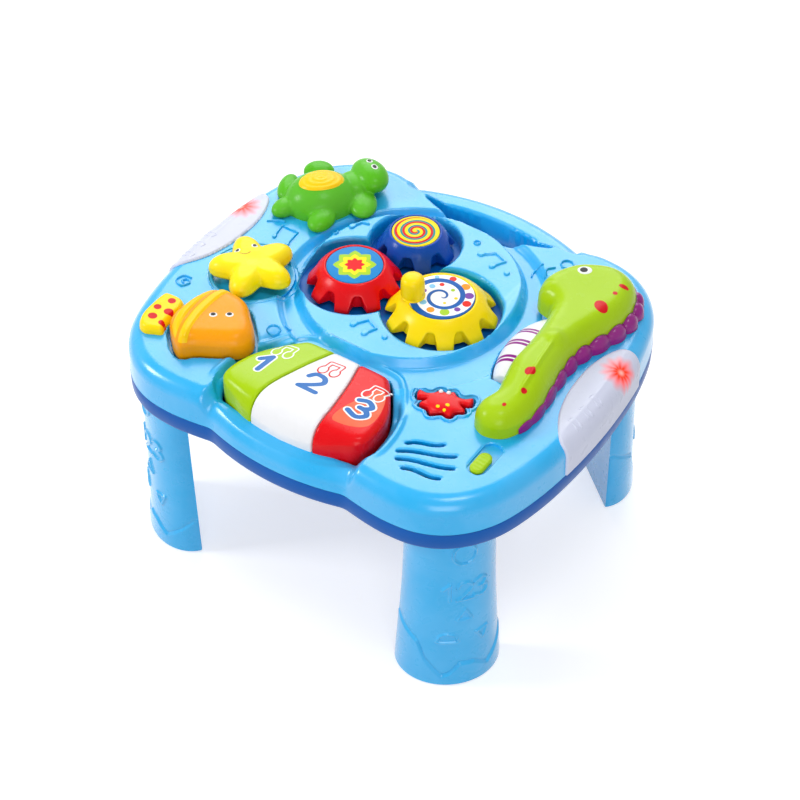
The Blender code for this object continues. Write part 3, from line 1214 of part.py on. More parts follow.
def make_button_domes(material):
    for name, (x, y) in zip(("turtle_dome", "fish_dome", "crab_dome"), button_stems()):
        make_rubber_dome(name, x, y, button_post_top() + GAP, material)


def make_seahorse(material):
    """The seahorse: a pillow on a spline outline, hollowed for its belly drum."""
    inset = SEAHORSE_SIZE * SEAHORSE_INSET_SHARE
    outline = seahorse_outline()
    body = domed("seahorse", outline, SEAHORSE_FOOT_Z, SEAHORSE_TOP_Z, inset, 3, SEAHORSE_EDGE_SHARE)
    return finish(cut(body, drum("belly_room", DRUM_ROOM)), material)


def seahorse_outline():
    return spline(placed(SEAHORSE_SHARES, SEAHORSE_X, SEAHORSE_Y, SEAHORSE_SIZE), OUTLINE_STEPS)


def make_ridge(material):
    """The scalloped ridge along the seahorse's back, which swells behind the head and thins to the tail."""
    outline = seahorse_outline()
    first, last = int(len(outline) * RIDGE_START_SHARE), int(len(outline) * RIDGE_END_SHARE)
    inner = outline[first:last + 1][::-1]
    spread = np.linspace(0, len(inner) - 1, RIDGE_POINTS)
    inner = np.column_stack([np.interp(spread, np.arange(len(inner)), inner[:, axis]) for axis in (0, 1)])
    along = np.gradient(inner, axis=0)
    normal = np.column_stack([-along[:, 1], along[:, 0]])
    normal /= np.linalg.norm(normal, axis=1)[:, None]
    share = np.linspace(0.0, 1.0, RIDGE_POINTS)
    swell = RIDGE_END_WIDTH_SHARE + (1 - RIDGE_END_WIDTH_SHARE) * np.sin(math.pi * share**0.75) ** 0.7
    scallop = 1 - RIDGE_SCALLOP_SHARE * (0.5 - 0.5 * np.cos(math.tau * RIDGE_SCALLOPS * share))
    width = RIDGE_WIDTH * (1 - RIDGE_TAPER_SHARE * share) * swell * scallop
    closed = np.concatenate([inner + normal * 2 * GAP, (inner + normal * width[:, None])[::-1]])
    return finish(prism("seahorse_ridge", closed, SEAHORSE_FOOT_Z, RIDGE_TOP_Z), material)


def make_belly(paint):
    """The striped barrel in the seahorse's belly, on the steel pin that it rolls about."""
    roller = drum("belly_drum", 0.0)
    bore_ends = (DRUM_Y - DRUM_LENGTH, DRUM_Y + DRUM_LENGTH)
    roller = cut(roller, rod_along_y("pin_bore", DRUM_X, DRUM_Z, DRUM_PIN_RADIUS + GAP, *bore_ends))
    finish(roller, paint["white"], (DRUM_X, DRUM_Y, DRUM_Z))
    half = drum_pin_half()
    pin = rod_along_y("drum_pin", DRUM_X, DRUM_Z, DRUM_PIN_RADIUS, DRUM_Y - half, DRUM_Y + half)
    finish(pin, paint["steel"])


def shoulder_rings(proud, deeper=0.0):
    """The casing's wall and shoulder, moved out by a distance."""
    rings = [at_height(grown(OUTLINE, proud), SEAM_Z + GAP - deeper)]
    top = DECK_Z + proud / 4
    for step in range(SHOULDER_STEPS + 1):
        bend = step / SHOULDER_STEPS * math.pi / 2
        inset = WALL_DRAFT - proud + SHOULDER_RADIUS * (1 - math.cos(bend))
        rings.append(at_height(grown(OUTLINE, -inset), top - SHOULDER_RADIUS * (1 - math.sin(bend))))
    return rings


def make_windows(paint):
    """Milky panes that follow the shoulder of the casing, each with a red lamp behind."""
    lamp_profile = profile(LAMP_SHARES, LAMP_RADIUS, LAMP_TOP_Z - LAMP_HEIGHT, LAMP_HEIGHT)
    for name, side in (("left", -1), ("right", 1)):
        pane = loft(name + "_window", shoulder_rings(WINDOW_PROUD))
        pane = cut(pane, loft("inside", shoulder_rings(-WINDOW_THICKNESS, OVERRUN)))
        pane = common(pane, prism("pane", window_outline(side), SEAM_Z, DECK_Z + OVERRUN))
        finish(pane, paint["milky"])
        finish(turned(name + "_lamp", lamp_profile, side * LAMP_X, LAMP_Y, SCREW_SIDES), paint["red"])


def make_switch(paint):
    """The slide switch: a rounded knob whose stem runs in the slot of the switch body under the deck."""
    seat = DECK_Z - SWITCH_DEPTH + GAP
    body_top = DECK_Z - SWITCH_DEPTH - WALL - GAP
    plan = pill(SWITCH_X, SLIDER_START_Y, SLIDER_HALF_X, SLIDER_HALF_Y)
    top = DECK_Z + SLIDER_PROUD
    slider = domed("switch_slider", plan, seat, top, SLIDER_HALF_X / 2, 2, SLIDER_EDGE_SHARE)
    stem_plan = box_outline(SWITCH_X, SLIDER_START_Y, SLIDER_STEM_HALF_X, SLIDER_STEM_HALF_Y)
    stem = prism("stem", stem_plan, body_top - SWITCH_BODY_DEPTH / 3, seat + GAP)
    finish(join(slider, stem), paint["lime"], (SWITCH_X, SLIDER_START_Y, seat))
    block_plan = box_outline(SWITCH_X, SWITCH_Y, SWITCH_HALF_X, SWITCH_HALF_Y)
    block = prism("switch_body", block_plan, body_top - SWITCH_BODY_DEPTH, body_top)
    block = cut(block, prism("slot", slider_slot(), body_top - SWITCH_BODY_DEPTH / 2, body_top + GAP))
    finish(block, paint["dark"], smooth=False)


def make_speaker(material):
    """The loudspeaker: a magnet, a basket that flares to its rim, and the hollow of its cone."""
    low = DECK_Z - WALL - GAP - SPEAKER_DEPTH
    body, cone = [
        turned(name, profile(shares, SPEAKER_RADIUS, low, SPEAKER_DEPTH), SPEAKER_X, SPEAKER_Y, PATCH_SIDES)
        for name, shares in (("speaker", SPEAKER_SHARES), ("cone", CONE_SHARES))
    ]
    return finish(cut(body, cone), material)


def make_legs(material):
    """Half-round legs that swell to the foot, each with a hollow plug that pushes into a socket."""
    top = UNDERSIDE_Z - GAP
    plug_foot = top - LEG_WALL
    plug_top = UNDERSIDE_Z + PLUG_LENGTH - GAP
    foot_share, top_share = LEG_TAPER_SHARES[1][1], LEG_TAPER_SHARES[-1][1]
    for name, x, y in leg_corners():
        skin = [at_height(leg_section(x, y, share), top * up) for up, share in LEG_TAPER_SHARES]
        leg = loft(name + "_leg", skin)
        leg = join(leg, prism("plug", plug_section(x, y), plug_foot, plug_top))
        bore = [at_height(leg_section(x, y, foot_share, -LEG_WALL), LEG_FOOT_THICKNESS)]
        for up, share in LEG_TAPER_SHARES[2:-1]:
            bore.append(at_height(leg_section(x, y, share, -LEG_WALL), top * up))
        bore.append(at_height(leg_section(x, y, top_share, -LEG_WALL), plug_foot - PLUG_STEP))
        bore += [at_height(plug_section(x, y, -LEG_WALL), z) for z in (plug_foot, plug_top + OVERRUN)]
        leg = cut(leg, loft("bore", bore))
        finish(leg, material, (*leg_place(x, y), 0.0))


def make_power(paint):
    """Three cells between two contact plates, behind a door that one screw holds."""
    half_x, half_y = box_half()
    low = UNDERSIDE_Z + DOOR_THICKNESS + 2 * GAP
    middle_z = low + CELL_RADIUS
    half = CELL_LENGTH / 2
    for i in range(CELL_COUNT):
        y = BOX_Y + (i - (CELL_COUNT - 1) / 2) * 2 * (CELL_RADIUS + GAP)
        way = 1 if i % 2 == 0 else -1
        cell = rod_along_x(f"battery_{i + 1}", y, middle_z, CELL_RADIUS, BOX_X - half, BOX_X + half)
        nib_ends = sorted((BOX_X + way * (half - GAP), BOX_X + way * (half + CELL_NIB_LENGTH)))
        cell = join(cell, rod_along_x("nib", y, middle_z, CELL_NIB_RADIUS, *nib_ends, SCREW_SIDES))
        finish(cell, paint["dark"])
    for name, side in (("left", -1), ("right", 1)):
        x = BOX_X + side * (half_x - GAP - CONTACT_THICKNESS / 2)
        plan = box_outline(x, BOX_Y, CONTACT_THICKNESS / 2, half_y - GAP)
        plate = prism(name + "_battery_contact", plan, low, low + 2 * CELL_RADIUS - GAP)
        finish(plate, paint["steel"], smooth=False)
    margin = DOOR_MARGIN - GAP
    plan = box_outline(BOX_X, BOX_Y, half_x + margin, half_y + margin)
    door = prism("battery_door", plan, UNDERSIDE_Z, UNDERSIDE_Z + DOOR_THICKNESS)
    finish(door, paint["dark_blue"], smooth=False)
    x, y = door_screw_place()
    head = UNDERSIDE_Z - GAP - WALL / 2
    head_profile = profile(FLAT_HEAD_SHARES, DOOR_SCREW_RADIUS, head, WALL / 2)
    screw = turned("battery_door_screw", head_profile, x, y, SCREW_SIDES)
    shank = circle(x, y, SCREW_SHANK_RADIUS, SCREW_SIDES)
    screw = join(screw, prism("shank", shank, head + WALL / 4, UNDERSIDE_Z + DOOR_SCREW_DEPTH - GAP))
    finish(screw, paint["steel"])


def make_case_screws(material):
    """Four long screws whose heads are sunk in the base and whose shanks reach into the top's posts."""
    head = UNDERSIDE_Z + CASE_SCREW_SINK - GAP - CASE_SCREW_HEAD_HEIGHT
    seat = head + CASE_SCREW_HEAD_HEIGHT
    head_profile = profile(FLAT_HEAD_SHARES, CASE_SCREW_HEAD, head, CASE_SCREW_HEAD_HEIGHT)
    for i, (x, y) in enumerate(case_posts()):
        screw = turned(f"case_screw_{i + 1}", head_profile, x, y, SCREW_SIDES)
        shank = circle(x, y, CASE_SCREW_RADIUS, SCREW_SIDES)
        finish(join(screw, prism("shank", shank, seat - GAP, seat + CASE_SCREW_REACH)), material)


def make_main_board(material):
    plan = box_outline(MAIN_BOARD_X, MAIN_BOARD_Y, MAIN_BOARD_HALF_X, MAIN_BOARD_HALF_Y)
    board = prism("main_board", plan, MAIN_BOARD_Z - BOARD_THICKNESS, MAIN_BOARD_Z)
    return finish(board, material, smooth=False)


def main():
    for obj in list(bpy.data.objects):
        bpy.data.objects.remove(obj)
    paint = {name: plastic(*finishing) for name, finishing in FINISHES.items()}
    make_top_shell(paint["light"])
    make_bottom_shell(paint["dark_blue"])
    make_gear_plate(paint["royal"])
    make_gears(paint)
    make_keys(paint)
    make_turtle(paint)
    make_star(paint["yellow"])
    make_fish(paint)
    make_crab(paint["red"])
    make_button_domes(paint["rubber"])
    make_seahorse(paint["lime"])
    make_ridge(paint["purple"])
    make_belly(paint)
    make_windows(paint)
    make_switch(paint)
    make_speaker(paint["dark"])
    make_legs(paint["light"])
    make_power(paint)
    make_case_screws(paint["steel"])
    make_main_board(paint["board"])


main()
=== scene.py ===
"""Looks of the musical activity table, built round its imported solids.

Lengths are millimetres until a mesh is made. Across is X, along is Y with the keys in front at -Y, up is Z.
"""

import math

import bpy
import numpy as np
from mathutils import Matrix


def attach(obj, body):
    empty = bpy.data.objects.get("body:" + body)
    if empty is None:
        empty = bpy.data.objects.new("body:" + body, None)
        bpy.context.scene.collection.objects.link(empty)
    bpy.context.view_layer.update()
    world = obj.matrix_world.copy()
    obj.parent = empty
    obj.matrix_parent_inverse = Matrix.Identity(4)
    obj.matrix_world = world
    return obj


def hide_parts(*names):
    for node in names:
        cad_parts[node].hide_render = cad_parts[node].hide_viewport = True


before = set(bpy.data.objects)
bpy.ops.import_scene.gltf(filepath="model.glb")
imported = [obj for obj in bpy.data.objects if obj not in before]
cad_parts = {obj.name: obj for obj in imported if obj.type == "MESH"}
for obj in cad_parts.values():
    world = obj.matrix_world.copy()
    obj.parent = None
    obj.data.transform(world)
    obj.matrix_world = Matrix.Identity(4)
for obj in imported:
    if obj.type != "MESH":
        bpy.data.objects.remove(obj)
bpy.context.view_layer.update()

MM = 0.001
TAU = math.tau


# Curves and outlines

def step(t):
    """A smooth rise from 0 to 1: 3t² - 2t³."""
    t = np.clip(t, 0.0, 1.0)
    return t * t * (3 - 2 * t)


def bell(t):
    """A smooth hump from -1 to 1: (1 - t²)²."""
    return (1 - np.clip(t, -1.0, 1.0) ** 2) ** 2


def rounding(depth, radius):
    """Drop of a rounded edge at a depth inside it: r - sqrt(r² - (r - depth)²)."""
    short = radius - np.clip(depth, 0.0, radius)
    return radius - np.sqrt(np.maximum(radius**2 - short**2, 0.0))


def pillow(depth, width, power=2.0):
    """A rise from 0 at a rim to 1 at a depth, like a superellipse: sqrt(1 - (1 - depth / width) ** power)."""
    return np.sqrt(1 - np.clip(1 - depth / width, 0.0, 1.0) ** power)


def spline(points, steps, closed=True):
    """Catmull-Rom: each span is a cubic through its two points, with slopes from their neighbours."""
    points = np.asarray(points, float)
    count = len(points)
    index = np.arange(-1, count + 2)
    held = points[index % count] if closed else points[np.clip(index, 0, count - 1)]
    t = (np.arange(steps) / steps)[None, :, None]
    a, b, c, d = (held[i:i + (count if closed else count - 1), None] for i in range(4))
    curve = b + t * (c - a) / 2 + t**2 * (a - 2.5 * b + 2 * c - d / 2) + t**3 * (1.5 * (b - c) + (d - a) / 2)
    curve = curve.reshape(-1, points.shape[1])
    return curve if closed else np.concatenate([curve, points[-1:]])


def placed(points, x, y, size=1.0, turn=0.0):
    """Points turned by an angle, scaled and moved to x, y."""
    c, s = math.cos(turn), math.sin(turn)
    return np.asarray(points, float) @ np.array([(c, s), (-s, c)]) * size + (x, y)


def grown(outline, distance):
    """The outline with every edge moved outwards by a distance, mitred at its corners."""
    along = np.roll(outline, -1, 0) - outline
    along /= np.linalg.norm(along, axis=1)[:, None]
    after = np.column_stack([along[:, 1], -along[:, 0]])
    before = np.roll(after, 1, 0)
    return outline + (before + after) / (1 + np.sum(before * after, axis=1))[:, None] * distance


def bow(half, edge, reach, count):
    """An arc from +half to -half that reaches furthest in the middle."""
    rise = reach - edge
    radius = (half**2 + rise**2) / (2 * abs(rise))
    x = half * np.cos(np.linspace(0.0, math.pi, count))
    return np.column_stack([x, reach - math.copysign(1.0, rise) * (radius - np.sqrt(radius**2 - x**2))])


def circle(count, turn=0.0):
    bend = np.arange(count) * TAU / count + turn
    return np.column_stack([np.cos(bend), np.sin(bend)])


# Distances: each is a function of x and y, negative inside the form

def near_lines(starts, steps):
    """Distance to the nearest of many straight lines: the point less its foot, kept between the line's ends."""
    size = np.maximum((steps**2).sum(1), 1e-12)

    def distance(flat):
        to = flat[:, None] - starts
        share = np.clip((to * steps).sum(2) / size, 0.0, 1.0)
        return np.sqrt(((to - share[..., None] * steps) ** 2).sum(2).min(1))
    return distance


def around(low, high, exact):
    """Exact close to a box, and the distance to the box further out."""
    def distance(x, y):
        x, y = np.broadcast_arrays(np.asarray(x, float), np.asarray(y, float))
        flat = np.column_stack([x.ravel(), y.ravel()])
        out = np.linalg.norm(np.maximum(np.maximum(low - flat, flat - high), 0.0), axis=1)
        close = np.flatnonzero(out < 10.0)
        for part in np.array_split(close, max(1, len(close) // 6000)):
            out[part] = exact(flat[part])
        return out.reshape(x.shape)
    return distance


def closed_form(outline):
    """Signed distance to a closed outline: nearest edge, negative where a level line crosses an odd number."""
    outline = np.asarray(outline, float)
    steps = np.roll(outline, -1, 0) - outline
    nearest = near_lines(outline, steps)
    slope = steps[:, 0] / np.where(steps[:, 1] == 0.0, 1e-12, steps[:, 1])

    def exact(flat):
        above = outline[:, 1] > flat[:, 1:]
        before = flat[:, :1] < outline[:, 0] + (flat[:, 1:] - outline[:, 1]) * slope
        crossed = (above != np.roll(above, -1, 1)) & before
        return np.where(crossed.sum(1) % 2 == 1, -1.0, 1.0) * nearest(flat)
    return around(outline.min(0), outline.max(0), exact)


def stroke(points, half, soft=1):
    """A line of round ends and even width along points."""
    points = np.asarray(points, float)
    if soft > 1:
        points = spline(points, soft, closed=False)
    nearest = near_lines(points[:-1], np.diff(points, axis=0))
    return around(points.min(0) - half, points.max(0) + half, lambda flat: nearest(flat) - half)


def oval(x, y, half_x, half_y=None, turn=0.0):
    """An ellipse: its scaled radius less one, times its smaller half."""
    half_y = half_y or half_x
    c, s = math.cos(turn), math.sin(turn)

    def distance(u, v):
        a, b = (u - x) * c + (v - y) * s, (v - y) * c - (u - x) * s
        return (np.hypot(a / half_x, b / half_y) - 1) * min(half_x, half_y)
    return distance


def any_of(*forms):
    return lambda x, y: np.minimum.reduce([form(x, y) for form in forms])


def wider(form, by):
    return lambda x, y: form(x, y) - by


def ring(x, y, radius, half):
    return lambda u, v: np.abs(np.hypot(u - x, v - y) - radius) - half


# Meshes

def clipped(form, low, high, pitch):
    """A grid of triangles cut where the form's distance is zero, by straight steps between its points.

    Returns plan points, triangles, and the rim's edges with the surface on their left."""
    u, v = (np.arange(low[i], high[i] + pitch, pitch) for i in (0, 1))
    across, along = np.meshgrid(u, v, indexing="ij")
    value = form(across, along)
    slope_u, slope_v = np.gradient(value, pitch)
    size = np.maximum(slope_u**2 + slope_v**2, 0.2)
    close = np.abs(value) < 0.28 * pitch
    across = np.where(close, across - value * slope_u / size, across)
    along = np.where(close, along - value * slope_v / size, along)
    value = np.where(close, 0.0, value).ravel()
    points = np.column_stack([across.ravel(), along.ravel()])
    index = np.arange(len(points)).reshape(across.shape)
    a, b, c, d = (index[i].ravel() for i in (np.s_[:-1, :-1], np.s_[1:, :-1], np.s_[1:, 1:], np.s_[:-1, 1:]))
    triangles = np.concatenate([np.column_stack([a, b, c]), np.column_stack([a, c, d])])
    within = value <= 0.0
    inside = within[triangles].sum(1)
    one, two = triangles[inside == 1], triangles[inside == 2]
    one = np.take_along_axis(one, (np.argmax(within[one], 1)[:, None] + [0, 1, 2]) % 3, 1)
    two = np.take_along_axis(two, (np.argmin(within[two], 1)[:, None] + [0, 1, 2]) % 3, 1)
    cuts = np.sort(np.concatenate([one[:, :2], one[:, ::2], two[:, :2], two[:, ::2]]), 1)
    key, back = np.unique(cuts[:, 0] * len(points) + cuts[:, 1], return_inverse=True)
    i, j = key // len(points), key % len(points)
    share = value[i] / (value[i] - value[j])
    ids = back.reshape(-1) + len(points)
    ab, ac, cd, ce = np.split(ids, np.cumsum([len(one), len(one), len(two)]))
    points = np.concatenate([points, points[i] + share[:, None] * (points[j] - points[i])])
    triangles = np.concatenate([
        triangles[inside == 3], np.column_stack([one[:, 0], ab, ac]),
        np.column_stack([cd, two[:, 1], two[:, 2]]), np.column_stack([cd, two[:, 2], ce]),
    ])
    used, back = np.unique(triangles, return_inverse=True)
    points, triangles = points[used], back.reshape(-1, 3)
    edges = np.concatenate([triangles[:, [0, 1]], triangles[:, [1, 2]], triangles[:, [2, 0]]])
    key = np.sort(edges, 1) @ [len(points), 1]
    _, first, times = np.unique(key, return_index=True, return_counts=True)
    return points, triangles, edges[first[times == 1]]


def plan(u, v, height):
    return np.column_stack([u, v, height])


def under(face, drop):
    """A ring's height: the face less a drop."""
    return lambda x, y: face(x, y) - drop


def pad(form, low, high, pitch, height, rings=(), place=plan, trim=0.0):
    """A surface over a form: height is a function of place and depth inside the rim, and each ring, of a
    distance out of the rim and a height or a function for it, carries the side on from the one before."""
    points, triangles, rim = clipped(wider(form, -trim), low, high, pitch)
    u, v = points.T
    top = height(u, v, -form(u, v))
    parts = [place(u, v, top)]
    faces = [triangles]
    loop, back = np.unique(rim, return_inverse=True)
    back = back.reshape(rim.shape)
    x, y = points[loop].T
    out = np.column_stack([form(x + 0.05, y) - form(x - 0.05, y), form(x, y + 0.05) - form(x, y - 0.05)])
    out /= np.maximum(np.linalg.norm(out, axis=1), 1e-9)[:, None]
    last, base = loop, len(points)
    for reach, level in rings:
        ids = base + np.arange(len(loop))
        ru, rv = (points[loop] + out * reach).T
        parts.append(place(ru, rv, level(ru, rv) if callable(level) else np.full(len(loop), float(level))))
        faces.append(np.column_stack([last[back[:, 0]], ids[back[:, 0]], ids[back[:, 1]], last[back[:, 1]]]))
        last, base = ids, base + len(loop)
    return np.concatenate(parts), faces


def skin(rings, closed=True, low=False, high=False):
    """Quads over rings of points, counter-clockwise from above and lowest first, with a fan at a closed end."""
    rings = np.asarray(rings, float)
    rows, count = rings.shape[:2]
    index = np.arange(rows * count).reshape(rows, count)
    if closed:
        index = np.concatenate([index, index[:, :1]], 1)
    a, b, c, d = (index[i].ravel() for i in (np.s_[:-1, :-1], np.s_[:-1, 1:], np.s_[1:, 1:], np.s_[1:, :-1]))
    points, faces = [rings.reshape(-1, 3)], [np.column_stack([a, b, c, d])]
    for wanted, row in ((low, 0), (high, rows - 1)):
        if wanted:
            middle = np.full(count, rows * count + len(points) - 1)
            edge = [index[row, :-1], index[row, 1:]]
            faces.append(np.column_stack([*(edge[::-1] if row == 0 else edge), middle]))
            points.append(rings[row].mean(0)[None])
    return np.concatenate(points), faces


def lathe(profile, x, y, count=96, low=False, high=True):
    """A profile of radius and height pairs turned about the upright line at x, y."""
    profile = np.asarray(profile, float)
    ring_points = circle(count)[None] * profile[:, None, :1]
    level = np.broadcast_to(profile[:, 1][:, None, None], (len(profile), count, 1))
    return skin(np.concatenate([ring_points + (x, y), level], 2), low=low, high=high)


def ball(centre, radii, turn=0.0, lean=0.0, count=36):
    """An ellipsoid: cosines and sines of two angles times three radii, leant about its width and turned."""
    bend = np.linspace(-math.pi / 2, math.pi / 2, count // 2 + 1)[1:-1, None]
    way = np.arange(count) * TAU / count
    x, y = radii[0] * np.cos(bend) * np.cos(way), radii[1] * np.cos(bend) * np.sin(way)
    z = radii[2] * np.sin(bend) + 0.0 * way
    x, z = x * math.cos(lean) - z * math.sin(lean), x * math.sin(lean) + z * math.cos(lean)
    xy = placed(np.stack([x, y], 2).reshape(-1, 2), centre[0], centre[1], 1.0, turn).reshape(*x.shape, 2)
    return skin(np.concatenate([xy, z[..., None] + centre[2]], 2), low=True, high=True)


def made(name, parts, material, body, stands_for=(), slot=None, sharp=40.0):
    """One piece from several lots of points and faces, riding on a body unless there is none."""
    points, corners, sizes, base = [], [], [], 0
    for lot, faces in parts:
        points.append(lot)
        for face in faces:
            corners.append((face + base).ravel())
            sizes.append(np.full(len(face), face.shape[1]))
        base += len(lot)
    points, corners, sizes = (np.concatenate(i) for i in (points, corners, sizes))
    mesh = bpy.data.meshes.new(name)
    mesh.vertices.add(len(points))
    mesh.vertices.foreach_set("co", (points * MM).ravel())
    mesh.loops.add(len(corners))
    mesh.loops.foreach_set("vertex_index", corners.astype(np.int32))
    mesh.polygons.add(len(sizes))
    mesh.polygons.foreach_set("loop_start", np.concatenate([[0], np.cumsum(sizes)[:-1]]).astype(np.int32))
    mesh.update(calc_edges=True)
    mesh.validate()
    mesh.shade_smooth()
    mesh.set_sharp_from_angle(angle=math.radians(sharp))
    mesh.materials.append(material)
    piece = bpy.data.objects.new(name, mesh)
    bpy.context.scene.collection.objects.link(piece)
    if body:
        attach(piece, body)
    if stands_for:
        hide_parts(*stands_for)
    return piece



# Materials

def colour(code):
    """An sRGB hex code as linear light."""
    shares = [int(code[i:i + 2], 16) / 255 for i in (0, 2, 4)]
    return (*(c / 12.92 if c <= 0.04045 else ((c + 0.055) / 1.055) ** 2.4 for c in shares), 1.0)


def add(tree, kind, inputs=(), **settings):
    """Adds a node: settings are its properties, inputs go by name or place and are values, sockets or nodes, of
    which the first live output feeds."""
    node = tree.nodes.new("ShaderNode" + kind)
    for key, value in settings.items():
        setattr(node, key, value)
    live = [socket for socket in node.inputs if socket.enabled]
    for key, value in inputs.items() if isinstance(inputs, dict) else enumerate(inputs):
        socket = live[key] if isinstance(key, int) else node.inputs[key]
        if isinstance(value, bpy.types.Node):
            value = next(output for output in value.outputs if output.enabled)
        if isinstance(value, bpy.types.NodeSocket):
            tree.links.new(value, socket)
        else:
            socket.default_value = value
    return node


def blank(name):
    """A material without nodes, its tree, and the place on the object."""
    material = bpy.data.materials.new(name)
    material.use_nodes = True
    material.node_tree.nodes.clear()
    return material, material.node_tree, add(material.node_tree, "TexCoord").outputs["Object"]


def moulded(name, base, rough=0.26, grain=1.0, relief=0.005, flow=0.03, **more):
    """A moulded or printed finish over a base: a hex code, or a function of tree and place that gives the base
    and more inputs of the shader. Flow marks 30 mm long shift the tone a little, as the melt left them. Rubbing
    over 9 mm makes highlights sharper in places. A grain of 1 mm, drawn coarser than the real 0.1 mm, softens
    their edges."""
    material, tree, where = blank(name)
    base, extra = base(tree, where) if callable(base) else (colour(base), {})
    flows = add(tree, "TexNoise", {"Vector": where, "Scale": 1000 / 30.0, "Detail": 3.0, "Roughness": 0.55})
    darker = add(tree, "HueSaturation", {"Color": base, "Value": 1.0 - flow, "Saturation": 1.04})
    tone = add(tree, "Mix", (add(tree, "MapRange", (flows, 0.4, 0.62)), base, darker), data_type="RGBA")
    rub = add(tree, "TexNoise", {"Vector": where, "Scale": 1000 / 9.0, "Detail": 4.0})
    spread = add(tree, "MapRange", (rub, 0.35, 0.7, rough * 0.85, rough * 1.2))
    grains = add(tree, "TexNoise", {"Vector": where, "Scale": 1000 / grain, "Detail": 2.0})
    bump = add(tree, "Bump", {"Height": grains, "Strength": 0.1, "Distance": relief * MM})
    more = {key.replace("_", " "): value for key, value in more.items()}
    shader = add(tree, "BsdfPrincipled", {
        "Base Color": tone, "Roughness": spread, "Normal": bump, "IOR": 1.53, "Specular IOR Level": 0.14,
        "Coat Weight": 0.05, "Coat Roughness": 0.12, **more, **extra})
    add(tree, "OutputMaterial", {"Surface": shader})
    return material


def metal(name, code, rough=0.3):
    """Rolled steel under a zinc coat: drawing lines 1.5 mm apart shift the tone and stretch the highlights."""
    material, tree, where = blank(name)
    drawn = add(tree, "Mapping", {"Vector": where, "Scale": (1.0, 1.0, 14.0)})
    lines = add(tree, "TexNoise", {"Vector": drawn, "Scale": 1000 / 1.5, "Detail": 3.0})
    tint = add(tree, "Mix", (lines, colour(code), colour("8F9398")), data_type="RGBA")
    spread = add(tree, "MapRange", (lines, 0.3, 0.7, rough * 0.7, rough * 1.3))
    shader = add(tree, "BsdfPrincipled", {"Base Color": tint, "Roughness": spread, "Metallic": 1.0})
    add(tree, "OutputMaterial", {"Surface": shader})
    return material


def circuit(tree, where):
    """Green lacquer over copper tracks: bands 6 mm long show paler where copper lies under the lacquer."""
    cells = add(tree, "TexBrick", {
        "Vector": where, "Scale": 1000 / 6.0, "Mortar Size": 0.06, "Color1": colour("1F6B3A"),
        "Color2": colour("25793F"), "Mortar": colour("3E8F4A")})
    return cells.outputs["Color"], {}


def polar(tree, where, x, y, z=0.0):
    """Radius in millimetres and turns round an upright line, or round a point: length and angle of the way."""
    moved = add(tree, "VectorMath", (where, (x * MM, y * MM, z * MM)), operation="SUBTRACT")
    flat = add(tree, "VectorMath", (moved, (1 / MM, 1 / MM, 1 / MM if z else 0.0)), operation="MULTIPLY")
    axes = add(tree, "SeparateXYZ", (flat,)).outputs
    bend = add(tree, "Math", (axes[1], axes[0]), operation="ARCTAN2")
    turns = add(tree, "Math", (bend, TAU), operation="DIVIDE")
    return add(tree, "VectorMath", (flat,), operation="LENGTH"), turns


def layered(tree, ground, layers, soft=0.12):
    """Inks over a ground, each where its value is under zero, softened as ink bleeds at its edge."""
    base = colour(ground)
    for code, value in layers:
        ink = add(tree, "MapRange", (value, -soft, soft, 1.0, 0.0))
        base = add(tree, "Mix", (ink, base, colour(code)), data_type="RGBA")
    return base.outputs[2], {}


def star_print(tree, where):
    """Stars inside each other: a ray falls in a straight line from its point to its valley, eight times."""
    radius, turns = polar(tree, where, *RED_AXIS)
    turned = add(tree, "Math", (turns, VIEW_TURN / 360), operation="SUBTRACT")
    saw = add(tree, "Math", (add(tree, "Math", (turned, 8.0), operation="MULTIPLY"), 0.5), operation="PINGPONG")
    layers = []
    for code, valley, point in STAR_LAYERS:
        edge = add(tree, "Math", (saw, 2.0 * (valley - point), point), operation="MULTIPLY_ADD")
        layers.append((code, add(tree, "Math", (radius, edge), operation="SUBTRACT")))
    return layered(tree, "1E87CC", layers)


def spiral_print(tree, where):
    """Bands that wind in: the fraction of radius over pitch plus turns picks red, teal, then yellow."""
    radius, turns = polar(tree, where, *BLUE_AXIS)
    unwound = add(tree, "Math", (radius, 1 / SPIRAL_PITCH, turns), operation="MULTIPLY_ADD")
    wound = add(tree, "Math", (unwound,), operation="FRACT")
    teal, scarlet = (add(tree, "Math", (wound, share), operation="SUBTRACT") for share in (0.60, 0.32))
    inner, _ = layered(tree, "FBE02C", (("1B8F93", teal), ("DC2A2C", scarlet)), 0.03)
    rim = add(tree, "Math", (SPIRAL_RIM, radius), operation="SUBTRACT")
    for value in (rim, add(tree, "Math", (radius, SPIRAL_MIDDLE), operation="SUBTRACT")):
        ink = add(tree, "MapRange", (value, -0.1, 0.1, 1.0, 0.0))
        inner = add(tree, "Mix", (ink, inner, colour("FBE02C")), data_type="RGBA").outputs[2]
    return inner, {}


